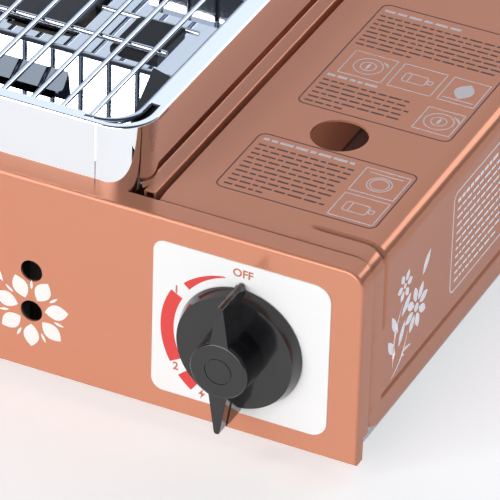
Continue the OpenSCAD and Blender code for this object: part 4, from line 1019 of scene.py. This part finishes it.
def makeTray():
    size, half, near, far = begin("drip_tray", tray)
    deckZ, floorZ = far.z - size.rim, near.z + size.sheet
    middleX = (low("wind_skirt").x + high("wind_skirt").x) / 2
    middleY = (low("wind_skirt").y + high("wind_skirt").y) / 2
    deck0, deck1 = middleY - size.deckDepth / 2, middleY + size.deckDepth / 2
    run, mitre = deckZ - floorZ, half * tray["mitre"]
    lowZ, highZ = floorZ - half, deckZ - half
    section = [(near.y - mm, lowZ), (deck0 - run + mitre, lowZ), (deck0 + mitre, highZ),
               (deck1 - mitre, highZ), (deck1 + run - mitre, lowZ), (far.y + mm, lowZ)]
    bm = pullSection(section, "X", near.x - mm, far.x + mm)
    perFold = math.tan(math.radians(tray["halfTurn"]))  # a fold's set back per radius
    upper = [edge for edge in foldEdges(bm) if edge.verts[0].co.z > (lowZ + highZ) / 2]
    roundFold(bm, upper, size.deckFold * perFold, 5)
    lower = [edge for edge in foldEdges(bm)
             if edge.verts[0].co.z < floorZ and edge.calc_face_angle(0) > tray["sharpTurn"]]
    roundFold(bm, lower, size.troughFold * perFold, 4)
    bottom = thicken("dripTray", bm, size.sheet)

    def trayPlan(inset, past):
        return roundedBlock(near, far, inset, inset, near.z - past, far.z - near.z + 2 * past,
                            size.cornerRadius - inset, 12)

    cutWith(bottom, trayPlan(0, size.past), "INTERSECT")
    walls = cutWith(toObject("trayWalls", trayPlan(0, 0)), trayPlan(size.sheet, size.past))
    above = [(near.y - mm, far.z + mm)] + [(y, z - half * tray["overlap"]) for y, z in section]
    cutWith(walls, pullPlate(above + [(far.y + mm, far.z + mm)], "X", near.x - size.past,
                             far.x + size.past), "INTERSECT")
    cutWith(bottom, toMesh(walls), "UNION")

    plate0, plate1 = ends("radiant_plate")
    cover0, cover1 = ends("igniter_cover")
    cutZ, aboveZ = deckZ - size.cutDepth, deckZ + size.cutAbove
    cutter = roundedBlock(plate0, plate1, -size.burnerGap, -size.burnerGap, cutZ, aboveZ - cutZ,
                          size.openingRadius, 5)
    for index in range(size.slotCount):
        x = middleX + (index - size.slotCount // 2) * size.slotPitch
        longHole(cutter, "Z", "X", (x, deck0 + size.slotIn, deckZ), size.slotWide, size.slotTall,
                 size.cutDepth, 20, size.cutAbove)
    boxCorners(cutter, (cover0.x + size.coverIn, cover0.y + size.coverIn, cutZ),
               (cover1.x - size.coverIn, cover1.y - size.coverIn, aboveZ))
    flapY, flapZ = deck0 - size.flapRoot, deckZ - size.flapRoot
    flapHalf = size.flapWidth / 2
    holeIn, holeFront, holeDown, holeBack = (value * mm for value in tray["flapHole"])
    boxCorners(cutter, (middleX - flapHalf + holeIn, flapY - holeFront, flapZ - holeDown),
               (middleX + flapHalf - holeIn, flapY - holeBack, flapZ + mm))
    for x in (cover0.x + size.rivetX, cover1.x - size.rivetX):
        roundHole(cutter, "Z", (x, cover0.y + size.rivetY, deckZ), size.rivetRadius,
                  size.cutDepth, 16)
    cutWith(bottom, cutter)

    flap = bmesh.new()
    flare, length = flapHalf + size.flapFlare, size.flapLength
    flatPlate(flap, [(-flapHalf, 0), (flapHalf, 0), (flare, -length), (-flare, -length)], "Z",
              -size.sheet)
    tip = [vert for vert in flap.verts if vert.co.y < -length * tray["flapTip"]]
    roundCorners(flap, tip, size.flapRadius, 5)
    pullFace(flap, flap.faces, (0, 0, size.sheet))
    turn(flap, Matrix.Rotation(math.radians(size.flapSlope), 3, "X"))
    shift(flap, (middleX, flapY, flapZ))
    cutWith(bottom, flap, "UNION")
    # the short rolled strip behind the igniter cover
    y, z = deck0 + size.stripY, deckZ - size.stripSink
    strip = rodAlong(bmesh.new(), (cover0.x - size.stripBefore, y, z),
                     (cover0.x + size.stripBeyond, y, z), size.stripRadius, 20)
    cutWith(bottom, strip, "UNION")
    dress(bottom, "tray", "tray_chrome", ["drip_tray"], 28)


cover = {"sheet": 1.0, "bevelSide": 5.5, "bevelFrom": 2.0, "edgeRadius": 1.0, "innerFrom": 1.4,
         "innerSide": 5.8}


def makeIgniterCover():
    size = metres(cover)
    near, far = ends("igniter_cover")
    wall = size.sheet
    outer = [(near.x, near.z), (near.x, near.z + size.bevelFrom), (near.x + size.bevelSide, far.z),
             (far.x, far.z), (far.x, near.z)]
    inner = [(near.x + wall, near.z - mm), (near.x + wall, near.z + size.innerFrom),
             (near.x + size.innerSide, far.z - wall), (far.x - wall, far.z - wall),
             (far.x - wall, near.z - mm)]
    bm = pullPlate(outer, "Y", near.y, far.y)
    roundFold(bm, edgesWhere(bm.edges, lambda co: co.z > near.z + mm), size.edgeRadius)
    shell = cutWith(toObject("igniterCover", bm),
                    pullPlate(inner, "Y", near.y + wall, far.y - wall))
    dress(shell, "tray", "black_enamel", ["igniter_cover"])


ridge = {"sheet": 0.8, "foldRadius": 1.6, "slant": 1.414}


def makeRidge():
    size, half, near, far = begin("tray_ridge", ridge)
    slant = half * ridge["slant"]
    bm = pullSection([(near.y + slant, near.z), ((near.y + far.y) / 2, far.z - slant),
                      (far.y - slant, near.z)], "X", near.x, far.x)
    roundFold(bm, foldEdges(bm), size.foldRadius, 4)
    dress(thicken("trayRidge", bm, size.sheet), "tray", "tray_chrome", ["tray_ridge"])


makeCornerPlates()
makeTray()
makeIgniterCover()
makeRidge()
print("tray and corner plates made")


prints = {
    "sink": 0.02, "height": 0.05, "lineDark": 0.55, "linePale": 0.5, "frameRadius": 3.5,
    "curveSteps": 8, "letterSteps": 3, "rowHeight": 0.95, "headHeight": 1.5, "wordGap": 1.0,
    "wordLengths": (2.0, 6.0), "lastRow": 0.4, "boldness": 0.11,
}
standUp = Matrix.Rotation(math.pi / 2, 4, "X")
sideways = Matrix.Rotation(math.pi / 2, 4, "Z") @ standUp
surfaces = {
    "lidTop": Matrix.Translation(Vector((frontRight.x, frontRight.y, lidTop))),
    "lidSide": Matrix.Translation(fromCorner(-bayLid["sideGap"], 0, 0)) @ sideways,
    "front": Matrix.Translation(frontRight) @ standUp,
    "plate": Matrix.Translation(fromCorner(0, -dial["thickness"], 0)) @ standUp,
}


def inkPiece(name, bm, surface, paint, body, slotName="white_plate"):
    # flat shapes in mm become thin solids on one of the printed surfaces
    bmesh.ops.recalc_face_normals(bm, faces=bm.faces)
    pullFace(bm, bm.faces, (0, 0, prints["sink"] + prints["height"]))
    shift(bm, (0, 0, -prints["sink"]))
    bm.transform(surfaces[surface] @ Matrix.Scale(mm, 4))
    dress(toObject(name, bm, finest), body, slotName, paint=paint)


def addFlatCurves(bm, curves):
    shapes = [addObject(data.name, data) for data in curves]
    depsgraph = bpy.context.evaluated_depsgraph_get()
    for shape in shapes:
        mesh = bpy.data.meshes.new_from_object(shape.evaluated_get(depsgraph))
        bm.from_mesh(mesh)
        data = shape.data
        bpy.data.objects.remove(shape)
        bpy.data.curves.remove(data)
        bpy.data.meshes.remove(mesh)


def addLeaves(bm, leaves):
    # closed leaf shapes: start, end and how far each side bows out, as one filled flat curve
    data = bpy.data.curves.new("leafShapes", "CURVE")
    data.dimensions = "2D"
    data.fill_mode = "BOTH"
    data.resolution_u = prints["curveSteps"]
    for x0, y0, x1, y1, bowLeft, bowRight in leaves:
        start, end = Vector((x0, y0)), Vector((x1, y1))
        along = end - start
        across = Vector((-along.y, along.x)).normalized()
        spline = data.splines.new("BEZIER")
        spline.bezier_points.add(1)
        spline.use_cyclic_u = True
        for point, at, toward, rightBow, leftBow in zip(
                spline.bezier_points, (start, end), (along / 3, -along / 3),
                (bowLeft, bowRight), (bowRight, bowLeft)):
            point.handle_left_type = point.handle_right_type = "FREE"
            point.co = (*at, 0)
            point.handle_right = (*(at + toward + across * rightBow), 0)
            point.handle_left = (*(at + toward + across * leftBow), 0)
    addFlatCurves(bm, [data])


def textCurve(text, x, y, size):
    data = bpy.data.curves.new("legend", "FONT")
    data.body = text
    data.size = size
    data.offset = prints["boldness"]
    data.align_x = data.align_y = "CENTER"
    data.text_boxes[0].x = x
    data.text_boxes[0].y = y
    data.resolution_u = prints["letterSteps"]
    return data


def hollowOut(bm, face, width):
    bmesh.ops.inset_region(bm, faces=[face], thickness=width, use_even_offset=True,
                           use_boundary=True)
    bmesh.ops.delete(bm, geom=[face], context="FACES_ONLY")


def addOutline(bm, x0, y0, x1, y1, radius, width):
    # a rectangle's line with round corners: a face set in, its middle taken out
    face = flatPlate(bm, boxOutline(x0, y0, x1, y1), "Z", 0)
    roundCorners(bm, face.verts, radius, 6)
    bm.faces.ensure_lookup_table()
    hollowOut(bm, bm.faces[-1], width)


def addRing(bm, x, y, radius, width, segments=40):
    verts = bmesh.ops.create_circle(bm, cap_ends=True, segments=segments, radius=radius)["verts"]
    shift(bm, (x, y, 0), verts)
    if width:
        hollowOut(bm, verts[0].link_faces[0], width)


def addBar(bm, x0, y0, x1, y1, width):
    start, end = Vector((x0, y0)), Vector((x1, y1))
    across = Vector((y0 - y1, x1 - x0)).normalized() * width / 2
    flatPlate(bm, [tuple(point) for point in (start - across, end - across, end + across,
                                              start + across)], "Z", 0)


def addRows(bm, source, x0, x1, yTop, pitch=0, count=1, height=prints["headHeight"]):
    # rows of plain dashes where the real thing carries wording
    for row in range(count):
        x, y = x0, yTop - row * pitch
        limit = x1 if row < count - 1 else x0 + (x1 - x0) * prints["lastRow"]
        while x < limit - prints["wordLengths"][0]:
            wide = min(source.uniform(*prints["wordLengths"]), limit - x)
            addBar(bm, x, y, x + wide, y, height)
            x += wide + prints["wordGap"]


def makeDialPrint():
    red, words = bmesh.new(), bmesh.new()
    for angle0, angle1, inner0, outer0, inner1, outer1 in dial["arcs"]:
        rings = []
        for step in range(dial["arcSteps"] + 1):
            part = step / dial["arcSteps"]
            angle = math.radians(angle0 + (angle1 - angle0) * part)
            radii = (inner0 + (inner1 - inner0) * part, outer0 + (outer1 - outer0) * part)
            rings.append([red.verts.new((spindleX - math.sin(angle) * radius,
                                         spindleZ + math.cos(angle) * radius, 0))
                          for radius in radii])
        for first, second in zip(rings, rings[1:]):
            bmesh.ops.contextual_create(red, geom=first + second)
    inkPiece("dialArcs", red, "plate", "printRed", "casing")
    addFlatCurves(words, [textCurve(*legend, dial["letterSize"]) for legend in dial["legends"]])
    sparkX, sparkZ = dial["spark"]
    flatPlate(words, [(sparkX + x, sparkZ + z) for x, z in dial["sparkOutline"]], "Z", 0)
    inkPiece("dialLegends", words, "plate", "printOrange", "casing")


flowers = {
    "frontBlossoms": ((6.0, 16.5, 7, 4.6, 90 + 180 / 7), (10.0, 14.5, 7, 0.8, 90)),
    "frontLeaves": ((-153.5, 14.5, -173.0, 6.5, 1.6, 0.6), (-158.0, 15.5, -168.5, 22.5, 3.0, -3.0),
                    (-160.5, 9.6, -171.0, 3.4, 0.2, 3.4), (-155.5, 31.0, -166.0, 37.5, 3.4, -2.4),
                    (-152.0, 37.5, -158.5, 47.0, 2.6, -2.0)),
    "sideBlossoms": ((53.5, 41.5, 2.9, 10.5, 8, 2.6, 12), (41.5, 58.5, 2.0, 6.8, 6, 2.1, 0)),
    "sideLeaves": ((31.5, 21.0, 46.0, 35.5, -3.2, -4.6), (33.0, 25.5, 40.0, 51.0, 4.4, 3.2),
                   (34.6, 31.5, 27.6, 40.5, 3.2, -2.0), (36.6, 40.0, 30.2, 50.5, 3.0, -1.8),
                   (39.6, 45.5, 47.6, 52.0, 2.6, -2.4), (41.5, 27.4, 52.0, 24.4, 2.8, -2.4),
                   (37.8, 32.5, 43.0, 41.8, 2.4, -2.2), (58.5, 53.5, 65.0, 62.0, 2.8, -2.0)),
    "sideHearts": ((53.5, 41.5, 1.9), (41.5, 58.5, 1.2)),
}


def blossom(x, y, inner, outer, count, bow, firstTurn):
    # petals round a centre, each a leaf shape
    petals = []
    for index in range(count):
        angle = math.radians(firstTurn + 360 * index / count)
        across, up = math.cos(angle), math.sin(angle)
        petals.append((x + inner * across, y + inner * up, x + outer * across, y + outer * up,
                       bow, -bow))
    return petals


def makeOrnaments():
    front, side = bmesh.new(), bmesh.new()
    leaves = []
    for sizes in flowers["frontBlossoms"]:
        leaves += blossom(casing["ventX"], casing["ventZ"][0], *sizes)
    addLeaves(front, leaves + list(flowers["frontLeaves"]))
    inkPiece("frontOrnament", front, "front", "printWhite", "casing")
    leaves = []
    for sizes in flowers["sideBlossoms"]:
        leaves += blossom(*sizes)
    addLeaves(side, leaves + list(flowers["sideLeaves"]))
    for x, y, radius in flowers["sideHearts"]:
        addRing(side, x, y, radius, 0, 20)
    # the side ornament's ink carries a faint painted glow
    inkPiece("sideOrnament", side, "lidSide", "printSidePaintedGlow", "lid")


def addTile(bm, leaves, x0, y0, x1, y1, sign):
    # a framed plain picture sign: a cartridge, a turning knob, a flame or a round window
    line = prints["linePale"]
    addOutline(bm, x0, y0, x1, y1, 0.3, line)
    x, y = (x0 + x1) / 2, (y0 + y1) / 2
    if sign == "cartridge":
        addOutline(bm, x - 6.2, y - 3.4, x + 4.0, y + 3.4, 1.5, line)
        addOutline(bm, x + 4.1, y - 1.5, x + 6.6, y + 1.5, 0.4, line)
        addBar(bm, x - 3.4, y - 2.8, x - 3.4, y + 2.8, line)
    elif sign == "knob":
        addRing(bm, x, y, 6.2, line)
        addRing(bm, x, y, 3.4, line)
        leaves.append((x, y - 2.6, x, y + 2.6, 0.9, -0.9))
        leaves.append((x + 4.0, y + 5.6, x + 7.6, y + 2.0, 1.6, 0.2))
    elif sign == "flame":
        leaves.append((x - 0.4, y - 5.4, x + 0.6, y + 6.2, 5.6, -5.0))
        addBar(bm, x - 6.6, y - 6.4, x + 6.6, y - 6.4, line)
    else:
        addRing(bm, x, y - 0.6, 5.2, line)
        addRing(bm, x, y - 0.6, 4.0, line, 32)
        addBar(bm, x - 7.0, y + 6.2, x + 7.0, y + 6.2, line)


guide = {
    "frames": ((-77.9, 31.0, -10.3, 73.5), (-76.0, 100.0, -10.3, 184.0)),
    "rows": ((-75.0, -34.5, 65.2, 3.4, 10), (-73.5, -33.5, 120.2, 3.4, 6),
             (-73.5, -13.5, 174.6, 3.4, 8)),
    "heads": ((-75.0, 22.5, 69.6), (-73.5, -19.75, 124.4), (-73.5, 10.25, 179.0)),
    "tiles": ((-31.2, 52.3, -12.0, 70.0, "window"), (-31.2, 33.2, -12.0, 50.2, "cartridge"),
              (-71.0, 127.6, -52.0, 146.0, "knob"), (-49.6, 127.6, -30.6, 146.0, "cartridge"),
              (-28.2, 127.6, -12.0, 146.0, "flame"), (-28.2, 104.0, -12.0, 121.3, "knob")),
    "sideFrame": (86.0, 27.0, 196.0, 74.0), "sideHead": (90.0, 186.0, 69.0),
    "sideRows": (90.0, 191.0, 65.0, 3.7, 10),
}


def makeLidPrint():
    source = random.Random(7)
    dark, pale, side, leaves = bmesh.new(), bmesh.new(), bmesh.new(), []
    for corners in guide["frames"]:
        addOutline(dark, *corners, prints["frameRadius"], prints["lineDark"])
    for rows in guide["rows"]:
        addRows(dark, source, *rows, prints["rowHeight"])
    for head in guide["heads"]:
        addRows(pale, source, *head)
    for tile in guide["tiles"]:
        addTile(pale, leaves, *tile)
    addLeaves(pale, leaves)
    inkPiece("lidLines", dark, "lidTop", "printDark", "lid", "black_enamel")
    inkPiece("lidSigns", pale, "lidTop", "printPale", "lid")
    addOutline(side, *guide["sideFrame"], prints["frameRadius"], prints["linePale"])
    addRows(side, source, *guide["sideHead"])
    addRows(side, source, *guide["sideRows"], prints["rowHeight"])
    # the side wording's ink carries a faint painted glow
    inkPiece("sideLines", side, "lidSide", "printSidePaintedGlow", "lid")


makeDialPrint()
makeOrnaments()
makeLidPrint()
print("prints made")
